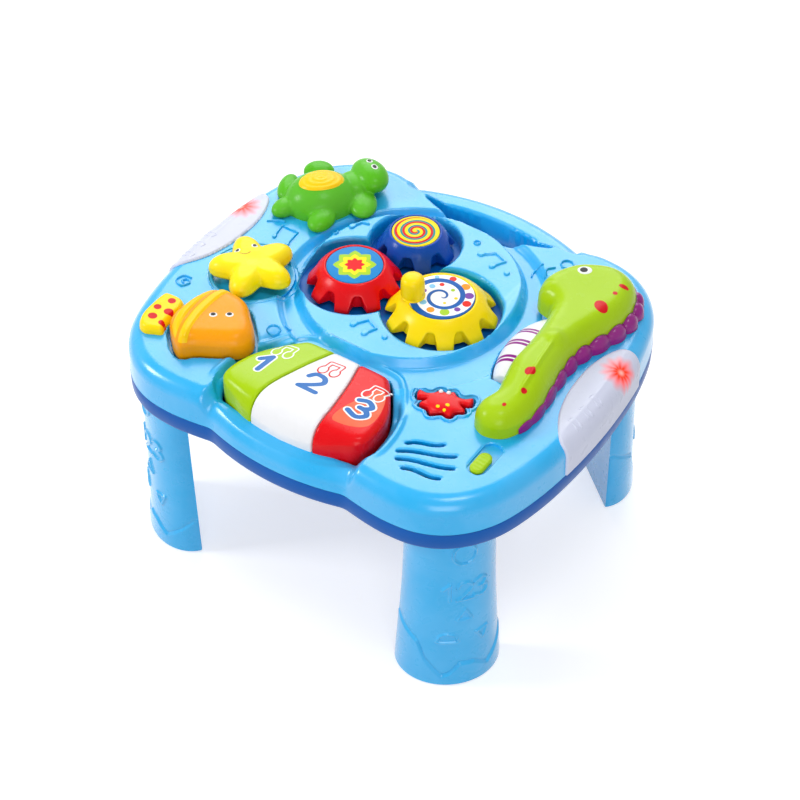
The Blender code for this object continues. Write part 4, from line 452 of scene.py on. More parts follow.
def dotted_print(tree, where):
    """Spots of several colours between the turns of a line that winds in and thins."""
    radius, turns = polar(tree, where, *YELLOW_AXIS)
    layers = []
    for code, spots in LABEL_SPOTS:
        nearest = None
        for bend, reach, size in spots:
            spot = placed(((reach, 0.0),), *YELLOW_AXIS, 1.0, math.radians(bend + VIEW_TURN))[0]
            far, _ = polar(tree, where, *spot)
            gap = add(tree, "Math", (far, size), operation="SUBTRACT")
            nearest = add(tree, "Math", (nearest, gap), operation="MINIMUM") if nearest else gap
        layers.append((code, nearest))
    unwound = add(tree, "Math", (radius, 1 / LINE_PITCH, -1.71), operation="MULTIPLY_ADD")
    wound = add(tree, "Math", (add(tree, "Math", (unwound, turns), operation="SUBTRACT"),), operation="FRACT")
    off = add(tree, "Math", (add(tree, "Math", (wound, 0.5), operation="SUBTRACT"),), operation="ABSOLUTE")
    half = add(tree, "Math", (radius, 0.088, 0.45), operation="MULTIPLY_ADD")
    away = add(tree, "Math", (off, LINE_PITCH), operation="MULTIPLY")
    line = add(tree, "Math", (away, half), operation="SUBTRACT")
    return layered(tree, "FBFBFA", [*layers, ("1F5FAE", line)])


def striped_print(tree, where):
    """Three pairs of rings round the barrel, each pair 4 mm wide with a thin line of white between."""
    along = add(tree, "Math", (add(tree, "SeparateXYZ", (where,)).outputs[1], 1 / MM), operation="MULTIPLY")
    nearest = None
    for place in (middle + side for middle in DRUM_BANDS for side in (-1.25, 1.25)):
        off = add(tree, "Math", (along, place), operation="SUBTRACT")
        gap = add(tree, "Math", (off,), operation="ABSOLUTE")
        nearest = add(tree, "Math", (nearest, gap), operation="MINIMUM") if nearest else gap
    return layered(tree, "F1F0F2", [("8E2386", add(tree, "Math", (nearest, 0.85), operation="SUBTRACT"))])


def lit_pane(side):
    """Milky polystyrene over a lit lamp: pale lavender, and a red glow that fades in rays from a white core. The
    pane gives off the glow, and the glow is also painted into its base colour as a red tint near the lamp.
    """
    def base(tree, where):
        radius, turns = polar(tree, where, side * LAMP[0], LAMP[1], LAMP[2])
        rays = add(tree, "Math", (turns, TAU * 11), operation="MULTIPLY")
        wave = add(tree, "Math", (rays,), operation="SINE")
        reach = add(tree, "Math", (wave, 0.9, radius), operation="MULTIPLY_ADD")
        glow = add(tree, "Math", (add(tree, "MapRange", (reach, 1.5, 13.0, 1.0, 0.0)), 1.5), operation="POWER")
        core = add(tree, "Math", (add(tree, "MapRange", (radius, 0.4, 3.0, 1.0, 0.0)), 1.4), operation="POWER")
        # Painted glow: the pane's own colour turns red near the lamp, with the lamp's light painted into it
        painted_glow_share = add(tree, "MapRange", (reach, 3.0, 12.0, 1.0, 0.0))
        tone = add(tree, "Mix", (painted_glow_share, colour("D4D7EA"), colour("EA3A22")), data_type="RGBA")
        light = add(tree, "Mix", (core, colour("FF3418"), colour("FFF4EE")), data_type="RGBA")
        strength = add(tree, "Math", (glow, 0.8), operation="MULTIPLY")
        return tone.outputs[2], {"Emission Color": light, "Emission Strength": strength}
    return base


# Sizes of the table's own forms

HALF_WIDTH, FRONT_REACH, REAR_REACH, LOBE_REACH, LOBE_MIDDLE = 136.5, 123.5, 123.5, 116.0, -4.0
FRONT_NOTCH, REAR_NOTCH = (44.3, 0.974), (61.5, 0.981)
LOBE_SHARES = (
    (0.418, 0.991), (0.530, 1.000), (0.655, 0.983), (0.765, 0.923),
    (0.857, 0.817), (0.922, 0.674), (0.970, 0.450), (0.993, 0.220),
)
SEAM, DECK, HANDLE, UNDERSIDE = 128.0, 150.0, 145.0, 116.0
SHOULDER, DRAFT = 9.5, 0.6
YELLOW_AXIS, RED_AXIS, BLUE_AXIS = (20.2, 15.1), (-36.6, 10.7), (-24.2, 55.7)
LAMP = (130.0, 25.5, 149.0)
DRUM_X, DRUM_Y, DRUM_Z, DRUM_REACH, DRUM_HALF = 82.6, 12.0, 145.0, 17.0, 28.0
DRUM_BANDS = (-5.5, 6.3, 17.0)
PLATE, BASIN, POCKET, RECESS = 142.4, 146.5, 144.6, 148.4
KEYS_REAR, KEYS_FRONT, KEYS_HALF = -47.8, -112.9, 47.5
STAR = (-87.5, -19.0)
FISH, FISH_SIZE = (-74.0, -73.0), 26.0
CRAB, CRAB_SIZE, CRAB_TURN = (62.8, -48.8), 15.0, math.radians(20)
TURTLE, TURTLE_TURN = (-93.0, 56.5, 152.3), math.radians(48)
HEAD, HEAD_RADII, HEAD_TURN = (-76.5, 84.0, 160.0), (14.8, 10.8, 8.0), math.radians(-30)
SWITCH = (103.0, -75.0, 4.0, 7.8)
VIEW_TURN, VIEW_TILT = 33.85, 44.37

# Printed labels: stars as colour, valley and point; spots as colour, then turn, reach and radius
STAR_LAYERS = (("A9D02E", 9.7, 12.6), ("FDE21B", 6.8, 9.3), ("E5101C", 4.2, 5.9))
SPIRAL_PITCH, SPIRAL_RIM, SPIRAL_MIDDLE = 4.6, 12.9, 0.9
LINE_PITCH = 9.0
LABEL_SPOTS = (
    ("E5342B", ((66, 16.6, 2.074), (-24, 15.3, 2.562), (88, 10.4, 1.464))),
    ("F29A2E", ((31, 16.1, 2.684), (-120, 12.9, 2.318))),
    ("7E4BA6", ((2, 15.6, 2.684), (-52, 13.9, 1.83), (152, 11.2, 1.586))),
    ("A9CF3A", ((-84, 13.3, 2.806), (40, 8.5, 1.22))),
    ("8AC7EC", ((-156, 11.6, 2.074), (120, 10.4, 1.83), (98, 17.0, 1.464))),
    ("F5D53A", ((-12, 8.2, 1.098), (-75, 5.8, 0.976))),
)

# Glossy ABS in strong toy colours: little shine of its own keeps the tone deep, and the light blue has a clear
# coat that draws a soft highlight along the shoulder
light_blue = moulded("light_blue_moulded_abs", "30B2EE", 0.30, Coat_Weight=1.0, Coat_Roughness=0.22)
dark_blue = moulded("dark_blue_moulded_abs", "0458AC", 0.34)
royal_blue = moulded("royal_blue_moulded_abs", "1767BC", 0.3)
yellow = moulded("yellow_moulded_abs", "FFDC12")
lemon = moulded("lemon_moulded_abs", "FFE61E")
red = moulded("red_moulded_abs", "E50A14")
gear_blue = moulded("deep_blue_moulded_abs", "2450AE")
green = moulded("green_moulded_abs", "5CB82A", 0.3)
lime = moulded("lime_moulded_abs", "A9CE1C")
white = moulded("white_moulded_abs", "EEEEF0")
orange = moulded("orange_moulded_abs", "FBA016", 0.28)
amber = moulded("amber_moulded_abs", "FFCC18", 0.32)
purple = moulded("purple_moulded_abs", "92207F", 0.2, Coat_Weight=0.3)

# Pad printing on ABS: a thin ink film, a little duller than the plastic under it
coral_ink = moulded("coral_pad_print", "F4663F", 0.3)
blue_ink = moulded("blue_pad_print", "1F6CB8", 0.35)
white_ink = moulded("white_pad_print", "F4F5F5", 0.35)
red_ink = moulded("red_pad_print", "D0161C", 0.35)
black_ink = moulded("black_pad_print", "17171A", 0.3)
brown_ink = moulded("brown_pad_print", "B98408", 0.4)

# The rest: dull textured ABS, a clear red lens, plated steel, matt silicone with a bloom, and a lacquered board
black = moulded("black_moulded_abs", "1B1C1F", 0.45)
lens = moulded("red_lamp_lens", "E01A12", 0.12)
steel = metal("zinc_plated_steel", "C3C6CA")
silicone = moulded("grey_silicone_rubber", "9A9DA0", 0.7, 0.8, 0.02, 0.1, Coat_Weight=0.0)
board = moulded("lacquered_circuit_board", circuit, 0.35)

# Paper labels printed in flat inks under a satin film, which keeps the inks plain and their edges sharp
FILM = {"Specular_IOR_Level": 0.06, "Coat_Weight": 0.02, "Coat_Roughness": 0.08}
label_star = moulded("star_printed_label", star_print, 0.22, 0.6, 0.004, 0.015, **FILM)
label_spiral = moulded("spiral_printed_label", spiral_print, 0.22, 0.6, 0.004, 0.015, **FILM)
label_dots = moulded("dotted_printed_label", dotted_print, 0.22, 0.6, 0.004, 0.015, **FILM)

# White ABS with printed purple rings: as glossy as the rest, so that the rings read as ink and not as grooves
belly = moulded("striped_white_abs", striped_print, 0.25)

SLOT_FINISH = {
    "light_blue_abs": light_blue, "dark_blue_abs": dark_blue, "royal_blue_abs": royal_blue,
    "yellow_abs": yellow, "red_abs": red, "blue_abs": gear_blue, "green_abs": green, "lime_abs": lime,
    "white_abs": white,
    "orange_abs": orange, "purple_abs": purple, "milky_pane": white, "dotted_print": label_dots,
    "star_print": label_star, "spiral_print": label_spiral, "striped_print": belly, "red_lamp": lens,
    "zinc_plated_steel": steel, "circuit_board": board, "silicone_rubber": silicone, "black_plastic": black,
}


# The casing

def casing_outline(steps, arc):
    """A bowed front, two lobes a side and the handle's bow, counter-clockwise."""
    lobe = np.asarray(LOBE_SHARES) * (HALF_WIDTH, LOBE_REACH)
    front = np.concatenate([[(FRONT_NOTCH[0], FRONT_NOTCH[1] * LOBE_REACH)], lobe]) * (1, -1)
    rear = np.concatenate([lobe[1:][::-1], [(REAR_NOTCH[0], REAR_NOTCH[1] * LOBE_REACH)]])
    right = spline(np.concatenate([front, [(HALF_WIDTH, 0.0)], rear]), steps, closed=False) + (0, LOBE_MIDDLE)
    back = bow(REAR_NOTCH[0], right[-1, 1], REAR_REACH, arc)[1:-1]
    nose = bow(FRONT_NOTCH[0], right[0, 1], -FRONT_REACH, arc)[::-1][1:-1]
    return np.concatenate([right, back, right[::-1] * (-1, 1), nose])


def softened(outline, width):
    """The outline with its corners eased: each point the mean of its neighbours over a width, evenly spaced."""
    loop = np.concatenate([outline, outline[:1]])
    length = np.concatenate([[0], np.cumsum(np.linalg.norm(np.diff(loop, axis=0), axis=1))])
    count = int(length[-1] / 1.3)
    spots = np.arange(count) * length[-1] / count
    even = np.column_stack([np.interp(spots, length, values) for values in loop.T])
    reach = max(1, round(width / 2.6))
    return np.mean([np.roll(even, i, 0) for i in range(-reach, reach + 1)], axis=0)


EDGE = softened(casing_outline(10, 40), 5.0)
edge_form = closed_form(EDGE[::2])

KEYS_SHARES = (
    (0.00, 0.000), (0.25, 0.000), (0.52, 0.003), (0.62, 0.050), (0.76, 0.187), (0.885, 0.333),
    (0.965, 0.480), (1.00, 0.648), (0.99, 0.786), (0.91, 0.860), (0.74, 0.912), (0.52, 0.965),
    (0.26, 0.990), (0.00, 1.000),
)
MIDDLE_KEY_SHARES = ((-0.06, 0.185), (0.05, 0.192), (0.30, 0.290), (0.62, 0.385), (0.80, 0.415), (1.06, 0.430))
FISH_SHARES = (
    (-0.50, 0.94), (-0.12, 0.99), (0.22, 0.90), (0.56, 0.60), (0.84, 0.32), (0.96, 0.04), (0.86, -0.26),
    (0.54, -0.48), (0.10, -0.74), (-0.14, -0.96), (-0.38, -0.90), (-0.62, -0.70), (-0.86, -0.44),
    (-0.92, -0.08), (-0.86, 0.32), (-0.74, 0.68),
)
TAIL_SHARES = (
    (-1.62, 0.30), (-1.40, 0.38), (-1.12, 0.34), (-0.99, 0.10), (-0.99, -0.40), (-0.90, -0.66),
    (-1.06, -0.76), (-1.26, -0.84), (-1.46, -0.76), (-1.60, -0.50), (-1.64, -0.16),
)
CRAB_SHARES = (
    (-0.62, 0.08), (-0.98, 0.10), (-1.00, 0.46), (-0.70, 0.36), (-0.42, 0.42), (-0.24, 0.62), (0.02, 0.50),
    (0.26, 0.62), (0.44, 0.42), (0.72, 0.36), (1.00, 0.46), (0.98, 0.10), (0.62, 0.08), (0.84, -0.24),
    (0.50, -0.38), (0.36, -0.62), (0.08, -0.50), (-0.22, -0.60), (-0.36, -0.62), (-0.50, -0.38),
    (-0.84, -0.24),
)
SEAHORSE_SHARES = (
    (-0.09, 0.97), (-0.28, 0.87), (-0.38, 0.74), (-0.43, 0.60), (-0.42, 0.48), (-0.36, 0.39), (-0.24, 0.34),
    (-0.20, 0.22), (-0.18, 0.08), (-0.17, -0.12), (-0.17, -0.34), (-0.13, -0.54), (-0.11, -0.66),
    (-0.15, -0.80), (-0.12, -0.92), (-0.02, -0.98), (0.10, -0.95), (0.17, -0.87), (0.21, -0.74),
    (0.215, -0.55), (0.18, -0.32), (0.155, -0.12), (0.155, 0.06), (0.20, 0.24), (0.26, 0.44), (0.285, 0.62),
    (0.26, 0.78), (0.19, 0.90), (0.06, 0.97),
)
WINDOW_SHARES = (
    (1.35, 0.015), (0.90, 0.010), (0.66, 0.030), (0.42, 0.120), (0.20, 0.240), (0.05, 0.400), (0.00, 0.560),
    (0.02, 0.720), (0.14, 0.860), (0.34, 0.965), (0.62, 1.000), (0.85, 0.985), (1.35, 0.900),
)


def keys_outline():
    half = np.asarray(KEYS_SHARES) * (KEYS_HALF, KEYS_FRONT - KEYS_REAR) + (0, KEYS_REAR)
    right = spline(half[1:-1], 6, closed=False)
    return np.concatenate([half[-1:], right[::-1], half[:1], right * (-1, 1)])


keys_form = closed_form(keys_outline())
fish_form = closed_form(spline(placed(FISH_SHARES, *FISH, FISH_SIZE), 5))
crab_form = closed_form(spline(placed(CRAB_SHARES, *CRAB, CRAB_SIZE, CRAB_TURN), 4))
seahorse_outline = spline(placed(SEAHORSE_SHARES, 94.0, 15.0, 74.0), 8)
seahorse_form = closed_form(seahorse_outline)
tail_form = closed_form(spline(placed(TAIL_SHARES, *FISH, FISH_SIZE), 5))


def grip_outline():
    front = bow(46.0, 98.5, 87.5, 25)[::-1]
    rear = bow(46.0, 98.5, 106.2, 25)[1:-1]
    return softened(np.concatenate([front, rear]), 7.0)


def drum_reach(y, extra=0.0):
    """The barrel's radius along its axis: a parabola from its middle to its ends."""
    return DRUM_REACH - 7.8 * np.clip(np.abs(y - DRUM_Y) / DRUM_HALF, 0.0, 1.2) ** 2 + extra


def drum_room(x, y):
    """Plan of the hole round the barrel at deck height."""
    half = np.sqrt(np.maximum(drum_reach(y, 1.8) ** 2 - 25.0, 0.0))
    return np.maximum(np.abs(x - DRUM_X) - half, np.abs(y - DRUM_Y) - DRUM_HALF - 1.8)


def stadium(x, y, half_x, half_y):
    """A slot with round ends along Y."""
    return stroke(((x, y + half_x - half_y), (x, y + half_y - half_x)), half_x)


slots = []
for row, (shift, half_length) in enumerate(((10.8, 9.5), (3.6, 15.0), (-3.6, 15.0), (-10.8, 10.0))):
    t = np.linspace(-1.0, 1.0, 9)
    stave = np.column_stack([half_length * t, shift - 1.4 * np.sin(t * 2.2)])
    slots.append(stroke(placed(stave, 77.5, -88.0, 1.0, math.radians(36 - 6 * row)), 1.25))

wells = any_of(oval(*YELLOW_AXIS, 34.8), oval(*RED_AXIS, 32.7), oval(*BLUE_AXIS, 27.2), oval(-13.5, 27.2, 9.0))
keys_hole, basin = wider(keys_form, 1.3), oval(*STAR, 23.5)
fish_hole, crab_hole = wider(fish_form, 2.0), wider(crab_form, 1.3)
recess = stadium(103.0, -71.0, 5.5, 12.5)
grip = closed_form(grip_outline())
slot_holes = any_of(*slots)
HOLES = (
    (wells, PLATE, 2.2), (keys_hole, 136.0, 1.1), (basin, BASIN, 0.9), (fish_hole, POCKET, 0.7),
    (crab_hole, POCKET, 0.5), (recess, RECESS, 0.6), (grip, SEAM + 0.2, 2.2), (slot_holes, 146.2, 0.5),
    (drum_room, 134.0, 0.8),
)


def bare_deck(x, y):
    """Height of the moulded face without its holes: steps of smooth rises between its levels."""
    z = DECK - 4.8 * step((79.5 - np.hypot(x, y - 17.5)) / 5.0)
    z = z + 7.3 * step((67.5 - np.hypot(x + 6.0, y - 23.5)) / 5.5)
    z = z + (HANDLE - z) * step((y - 99.0) / 5.0) * step((61.0 - np.abs(x)) / 5.0)
    bay = np.interp(y, (-146.0, -125.0, -103.8, -65.5, -40.0), (134.5, 140.0, 143.5, 147.5, 151.0))
    z = z + np.minimum(bay - z, 0.0) * step((52.0 - np.abs(x)) / 7.0)
    off_keys = keys_form(x, y)
    shelf = 4.2 * step((6.0 - off_keys) / 1.8) * step((-56.0 - y) / 12.0) * (1 - 0.8 * step((-102.0 - y) / 8.0))
    return z - shelf + 1.3 * bell((off_keys - 7.6) / 2.6) * step((y + 104.0) / 12.0)


def deck_height(x, y):
    z = bare_deck(x, y)
    for hole, _, radius in HOLES:
        z = z - rounding(hole(x, y), radius)
    return z


def deck_domain(x, y):
    gaps = [-hole(x, y) for hole, _, _ in HOLES]
    return np.maximum.reduce([edge_form(x, y) + DRAFT + SHOULDER, *gaps])


def hole_floor(x, y):
    """The foot of the wall at a point on a hole's rim."""
    gaps = np.abs([hole(x, y) for hole, _, _ in HOLES])
    floor = np.array([bottom for _, bottom, _ in HOLES])[np.argmin(gaps, axis=0)]
    return np.where(gaps.min(0) > 0.7, bare_deck(x, y), floor)


def shoulder_rings():
    """Rings from the seam up the wall and over the shoulder to the deck, each inset from the casing's edge."""
    rings = []
    for inset, level in ((0.0, SEAM), (0.05, SEAM + 0.25), (0.2, SEAM + 2.0)):
        rings.append(plan(*grown(EDGE, -inset).T, np.full(len(EDGE), level)))
    for bend in np.linspace(0.0, math.pi / 2, 13):
        ring_points = grown(EDGE, -DRAFT - SHOULDER * (1 - math.cos(bend)))
        level = bare_deck(*ring_points.T) - SHOULDER * (1 - math.sin(bend))
        rings.append(plan(*ring_points.T, level))
    inner = grown(EDGE, -DRAFT - SHOULDER - 1.2)
    rings.append(plan(*inner.T, bare_deck(*inner.T) - 0.03))
    return rings


def flat_floor(form, low, high, level, pitch=1.5):
    return pad(wider(form, 0.3), low, high, pitch, lambda x, y, depth: np.full(len(x), level))


deck_pitch = 0.82
shell = [
    pad(deck_domain, (-128.0, -115.0), (128.0, 115.0), deck_pitch,
        lambda x, y, depth: deck_height(x, y), ((0.0, hole_floor),)),
    skin(shoulder_rings()),
    flat_floor(basin, (-112, -44), (-62, 6), BASIN), flat_floor(fish_hole, (-102, -102), (-44, -42), POCKET),
    flat_floor(crab_hole, (44, -68), (82, -32), POCKET), flat_floor(recess, (96, -85), (110, -57), RECESS),
]
made("deck_shell", shell, light_blue, "table", ("top_shell",), "light_blue_abs")


def band():
    """The dark base's side: a rounded foot, an upright face and a small step under the seam."""
    levels = (
        (2.2, UNDERSIDE + 0.02), (1.1, UNDERSIDE + 0.3), (0.3, UNDERSIDE + 1.1), (-0.12, UNDERSIDE + 2.4),
        (-0.12, SEAM - 0.8), (0.05, SEAM - 0.5), (0.6, SEAM - 0.35),
    )
    return skin([plan(*grown(EDGE, -inset).T, np.full(len(EDGE), level)) for inset, level in levels])


made("base_band", [band()], dark_blue, "table", (), "dark_blue_abs")


# Raised signs on the deck

def notes(half, *pairs):
    """Notes by the places of their heads and stem ends, two under one beam where four places are given."""
    forms = []
    for points in pairs:
        points = np.asarray(points, float)
        forms.append(stroke(points, half))
        stems = [(points[0], points[1])] + ([(points[-1], points[-2])] if len(points) == 4 else [])
        for head, after in stems:
            lean = math.atan2(after[1] - head[1], after[0] - head[0])
            forms.append(oval(*head, half * 3.3, half * 2.4, lean))
    return any_of(*forms)


def raised(form, low, high, height=1.15, pitch=0.32):
    """A sign on the deck: full height inside, rolled off over its edge like a quarter of a circle."""
    return pad(form, low, high, pitch, lambda x, y, depth: bare_deck(x, y) + height * pillow(depth, 0.6),
               ((0.05, under(bare_deck, 0.3)),))


SPIRAL_SIGN = (
    (-114.5, -43.0), (-119.5, -43.8), (-120.6, -49.5), (-115.5, -51.5), (-112.6, -47.3), (-115.6, -45.2),
    (-117.6, -47.6), (-115.8, -48.9),
)
DECK_SIGNS = (
    (notes(0.75, ((-13.1, -24.3), (-8.1, -16.8), (-0.3, -20.4), (-3.7, -27.0))), (-18, -31), (4, -12)),
    (oval(7.4, -23.5, 1.9), (4, -27), (11, -20)),
    (ring(-48.4, -52.2, 3.6, 0.6), (-54, -58), (-43, -46)),
    (oval(-44.6, -43.6, 1.8), (-48, -47), (-41, -40)),
    (notes(0.75, ((14.0, 67.6), (21.0, 73.0), (29.5, 69.6), (25.1, 62.0))), (9, 57), (34, 78)),
    (oval(35.4, 61.2, 1.9), (32, 58), (39, 65)),
    (ring(6.4, 75.3, 1.7, 0.55), (3, 72), (10, 79)),
    (notes(0.75, ((-62.5, 45.3), (-59.8, 51.5), (-55.5, 52.5))), (-68, 39), (-51, 57)),
    (ring(-68.0, 35.3, 1.7, 0.55), (-72, 31), (-64, 39)),
    (stroke(((45.8, 72.5), (44.8, 77.0), (48.0, 81.0)), 0.7, 6), (42, 69), (51, 84)),
    (stroke(((54.4, 72.8), (52.4, 78.2), (55.5, 82.0)), 0.7, 6), (49, 69), (58, 85)),
    (ring(60.1, 88.5, 3.6, 0.6), (54, 82), (66, 95)),
    (stroke(SPIRAL_SIGN, 0.6, 6), (-125, -56), (-108, -39)),
    (stroke(((-109.4, 23.6), (-104.6, 27.5), (-100.6, 28.5)), 0.6, 6), (-113, 20), (-97, 32)),
    (notes(0.6, ((-97.5, 14.5), (-99.3, 24.9), (-87.8, 24.7), (-86.6, 12.4))), (-104, 8), (-81, 30)),
    (ring(*STAR, 26.4, 0.7), (-116, -48), (-59, 10), 0.6, 0.6),
    (lambda x, y: np.abs(crab_form(x, y) - 3.0) - 0.8, (39, -72), (87, -25), 1.1, 0.42),
)
made("deck_signs", [raised(*sign) for sign in DECK_SIGNS], light_blue, "table", (), "light_blue_abs")


# Gears

GEAR_FOOT, GEAR_TALL, LABEL_LEVEL = 145.6, 13.4, 159.3


def gear(x, y, teeth, tip, root, disc, turn):
    """Rings from the foot to the crown. A flared skirt falls from the disc's ring; arches are pressed into its
    foot, as deep as a falling share of the reach and narrowing to nothing at two thirds of the height."""
    way = np.arange(teeth * 48) * TAU / (teeth * 48)
    wave = 0.5 + 0.5 * np.cos((way - turn) * teeth)
    top_share = (0.72, 0.78, 0.84, 0.90, 0.95, 0.985, 1.0)
    share = np.concatenate([(0.0, 0.015), np.linspace(0.05, 0.66, 16), top_share])
    crown = disc + 1.9
    skirt = np.interp(share, (0.0, 0.015, 0.12, 0.25, 0.40, 0.55, 0.70, 0.84, 0.95, 1.0),
                      (0.98, 1.0, 0.96, 0.84, 0.68, 0.54, 0.40, 0.24, 0.08, 0.0))
    levels = []
    for s, out in zip(share, skirt):
        radius = crown + (tip - crown) * out
        half = 0.46 * (1 - (min(s, 0.66) / 0.66) ** 1.6)
        gap = step((half - wave) / 0.42 + 0.5) * step(half / 0.12)
        inner = min(radius, crown + (root - crown) * (1 - s) ** 0.7)
        levels.append((radius - (radius - inner) * gap, GEAR_FOOT + GEAR_TALL * s))
    levels += [(disc + 1.5, 159.22), (disc + 1.1, 159.34), (disc + 0.6, 159.30), (disc + 0.3, 159.0),
               (disc + 0.3, 157.9), (4.5, 157.8)]
    away = circle(len(way))
    rings = [
        plan(*((x, y) + away * np.reshape(reach, (-1, 1))).T, np.full(len(way), level)) for reach, level in levels]
    return skin(rings, low=True, high=True)


def label(x, y, radius):
    """A printed disc with a rounded edge."""
    edge = ((0.0, -1.3), (0.0, -0.25), (-0.1, -0.06), (-0.35, 0.0), (-radius * 0.5, 0.02))
    return lathe(np.add((radius, LABEL_LEVEL), edge), x, y, 128, low=True)


def meshing_turn(own, teeth, other, other_teeth, other_turn):
    """The turn that sets a gap of this gear against a tooth of the other."""
    line = math.atan2(own[1] - other[1], own[0] - other[0])
    tooth = (line - other_turn) * other_teeth / TAU
    return line + math.pi - (0.5 - tooth) * TAU / teeth


red_turn = math.radians(8.0)
yellow_turn = meshing_turn(YELLOW_AXIS, 10, RED_AXIS, 9, red_turn)
blue_turn = meshing_turn(BLUE_AXIS, 7, RED_AXIS, 9, red_turn)
for name, axis, teeth, tip, root, disc, turn, finish, print_finish, slot in (
    ("yellow", YELLOW_AXIS, 10, 32.5, 25.8, 19.0, yellow_turn, yellow, label_dots, "dotted_print"),
    ("red", RED_AXIS, 9, 28.1, 21.3, 16.4, red_turn, red, label_star, "star_print"),
    ("blue", BLUE_AXIS, 7, 23.8, 17.2, 14.1, blue_turn, gear_blue, label_spiral, "spiral_print"),
):
    made(name + "_toothed_wheel", [gear(*axis, teeth, tip, root, disc, turn)], finish, name + "_gear_set",
         (name + "_gear",), name + "_abs", 60.0)
    made(name + "_label", [label(*axis, disc)], print_finish, name + "_gear_set", (name + "_disc",), slot)

CRANK_PROFILE = (
    (7.1, 158.9), (7.25, 159.6), (7.0, 160.0), (6.75, 160.15), (6.9, 160.6), (6.9, 164.0), (6.85, 167.6),
    (6.7, 169.9), (6.2, 171.3), (5.3, 172.3), (3.9, 173.0), (2.0, 173.35),
)
crank = placed(((16.4, 0.0),), *YELLOW_AXIS, 1.0, math.radians(209))[0]
grip_knob = lathe(CRANK_PROFILE, *crank, 64, low=True)
made("crank_grip", [grip_knob], yellow, "yellow_gear_set", ("crank_knob",), "yellow_abs")


# Prints and small marks

# Each digit's strokes as shares of its height; a curved one is marked
NUMBER_SHARES = {
    "1": (((-0.28, 0.62), (0.06, 1.0), (0.06, 0.0), False),),
    "2": (((-0.38, 0.72), (-0.2, 0.98), (0.18, 0.96), (0.34, 0.68), (0.1, 0.38), (-0.38, 0.0), True),
          ((-0.38, 0.0), (0.42, 0.0), False)),
    "3": (((-0.34, 0.88), (0.0, 1.02), (0.3, 0.8), (0.12, 0.55), (-0.08, 0.52), True),
          ((-0.08, 0.52), (0.22, 0.48), (0.38, 0.24), (0.1, -0.03), (-0.36, 0.12), True)),
}


def number(sign, x, y, size, half):
    lines = [spline(line, 6, closed=False) if curved else line for *line, curved in NUMBER_SHARES[sign]]
    return any_of(*(stroke(placed(line, x, y, size), half) for line in lines))


def inked(form, middle, reach, face, lift, pitch=0.35):
    """A print on a face: the face raised by the ink, its edge just under it."""
    low, high = np.subtract(middle, reach), np.add(middle, reach)
    return pad(form, low, high, pitch, lambda x, y, depth: face(x, y) + lift, ((0.02, under(face, 0.05)),))


def drops(face, spots, finish, name, body, lift, rise):
    """Round spots on a face, each a shallow dome: lift at its rim, and rise more by a parabola of depth."""
    parts = []
    for x, y, half_x, half_y, turn in spots:
        reach = max(half_x, half_y) + 1
        parts.append(pad(oval(x, y, half_x, half_y, turn), (x - reach, y - reach), (x + reach, y + reach),
                         max(0.22, min(half_x, half_y) / 7),
                         lambda u, v, depth: face(u, v) + lift + rise * pillow(depth, 1.2) ** 2,
                         ((0.03, under(face, 0.1)),)))
    made(name, parts, finish, body)


def eyes(face, animal, places, turn, white_part, pupil_part, look=(0.0, 0.0)):
    """Two whites and a pupil on each, moved to where it looks. A part is its half sizes, lift and rise."""
    for part, (half_x, half_y, lift, rise), move, ink in (
        ("_eyes", white_part, (0.0, 0.0), white_ink), ("_pupils", pupil_part, look, black_ink),
    ):
        spots = [(x + move[0], y + move[1], half_x, half_y, turn) for x, y in places]
        drops(face, spots, ink, animal + part, animal, lift, rise)


# Keys

middle_shares = spline(MIDDLE_KEY_SHARES, 8, closed=False)
CREST_SHARES = (
    (-0.06, 0.585), (0.0, 0.60), (0.35, 0.80), (0.68, 0.985), (0.80, 1.0), (0.88, 0.92), (0.95, 0.70),
    (1.0, 0.36), (1.06, 0.0),
)
crest = spline(CREST_SHARES, 8, closed=False)
KEY_GAP, KEY_FOOT, KEY_LOW, KEY_TALL, DIGIT = 0.4, 138.2, 141.5, 16.5, 14.0


def key_side(x, y):
    """Signed distance across from the middle key's edge, positive outside it."""
    share = (y - KEYS_REAR) / (KEYS_FRONT - KEYS_REAR)
    return (np.abs(x) - KEYS_HALF * np.interp(share, middle_shares[:, 0], middle_shares[:, 1])) * 0.97


def key_face(x, y):
    """Crowned face: the side profile, less a shallow parabola across and the rounding at the keyboard's rim."""
    share = (y - KEYS_REAR) / (KEYS_FRONT - KEYS_REAR)
    z = KEY_LOW + KEY_TALL * np.interp(share, crest[:, 0], crest[:, 1])
    return z - 1.8 * (x / KEYS_HALF) ** 2 - 0.75 * rounding(-keys_form(x, y), 5.0)


def key_form(place):
    """The keyboard's plan between two gaps: the middle key, or what lies on one side of it."""
    if place == 0:
        return lambda x, y: np.maximum(keys_form(x, y), key_side(x, y) + KEY_GAP)
    return lambda x, y: np.maximum.reduce([keys_form(x, y), KEY_GAP - key_side(x, y), -place * x])


def key_height(x, y, *_):
    return key_face(x, y) - rounding(np.abs(key_side(x, y)) - KEY_GAP, 1.3)


def key_note(x, y):
    """The outline of two notes under one beam: the strokes less their inside."""
    form = notes(1.0, ((x - 3.8, y - 1.0), (x - 3.4, y + 6.6), (x + 3.6, y + 7.4), (x + 3.2, y)))
    return lambda u, v: np.abs(form(u, v) - 0.2) - 0.38


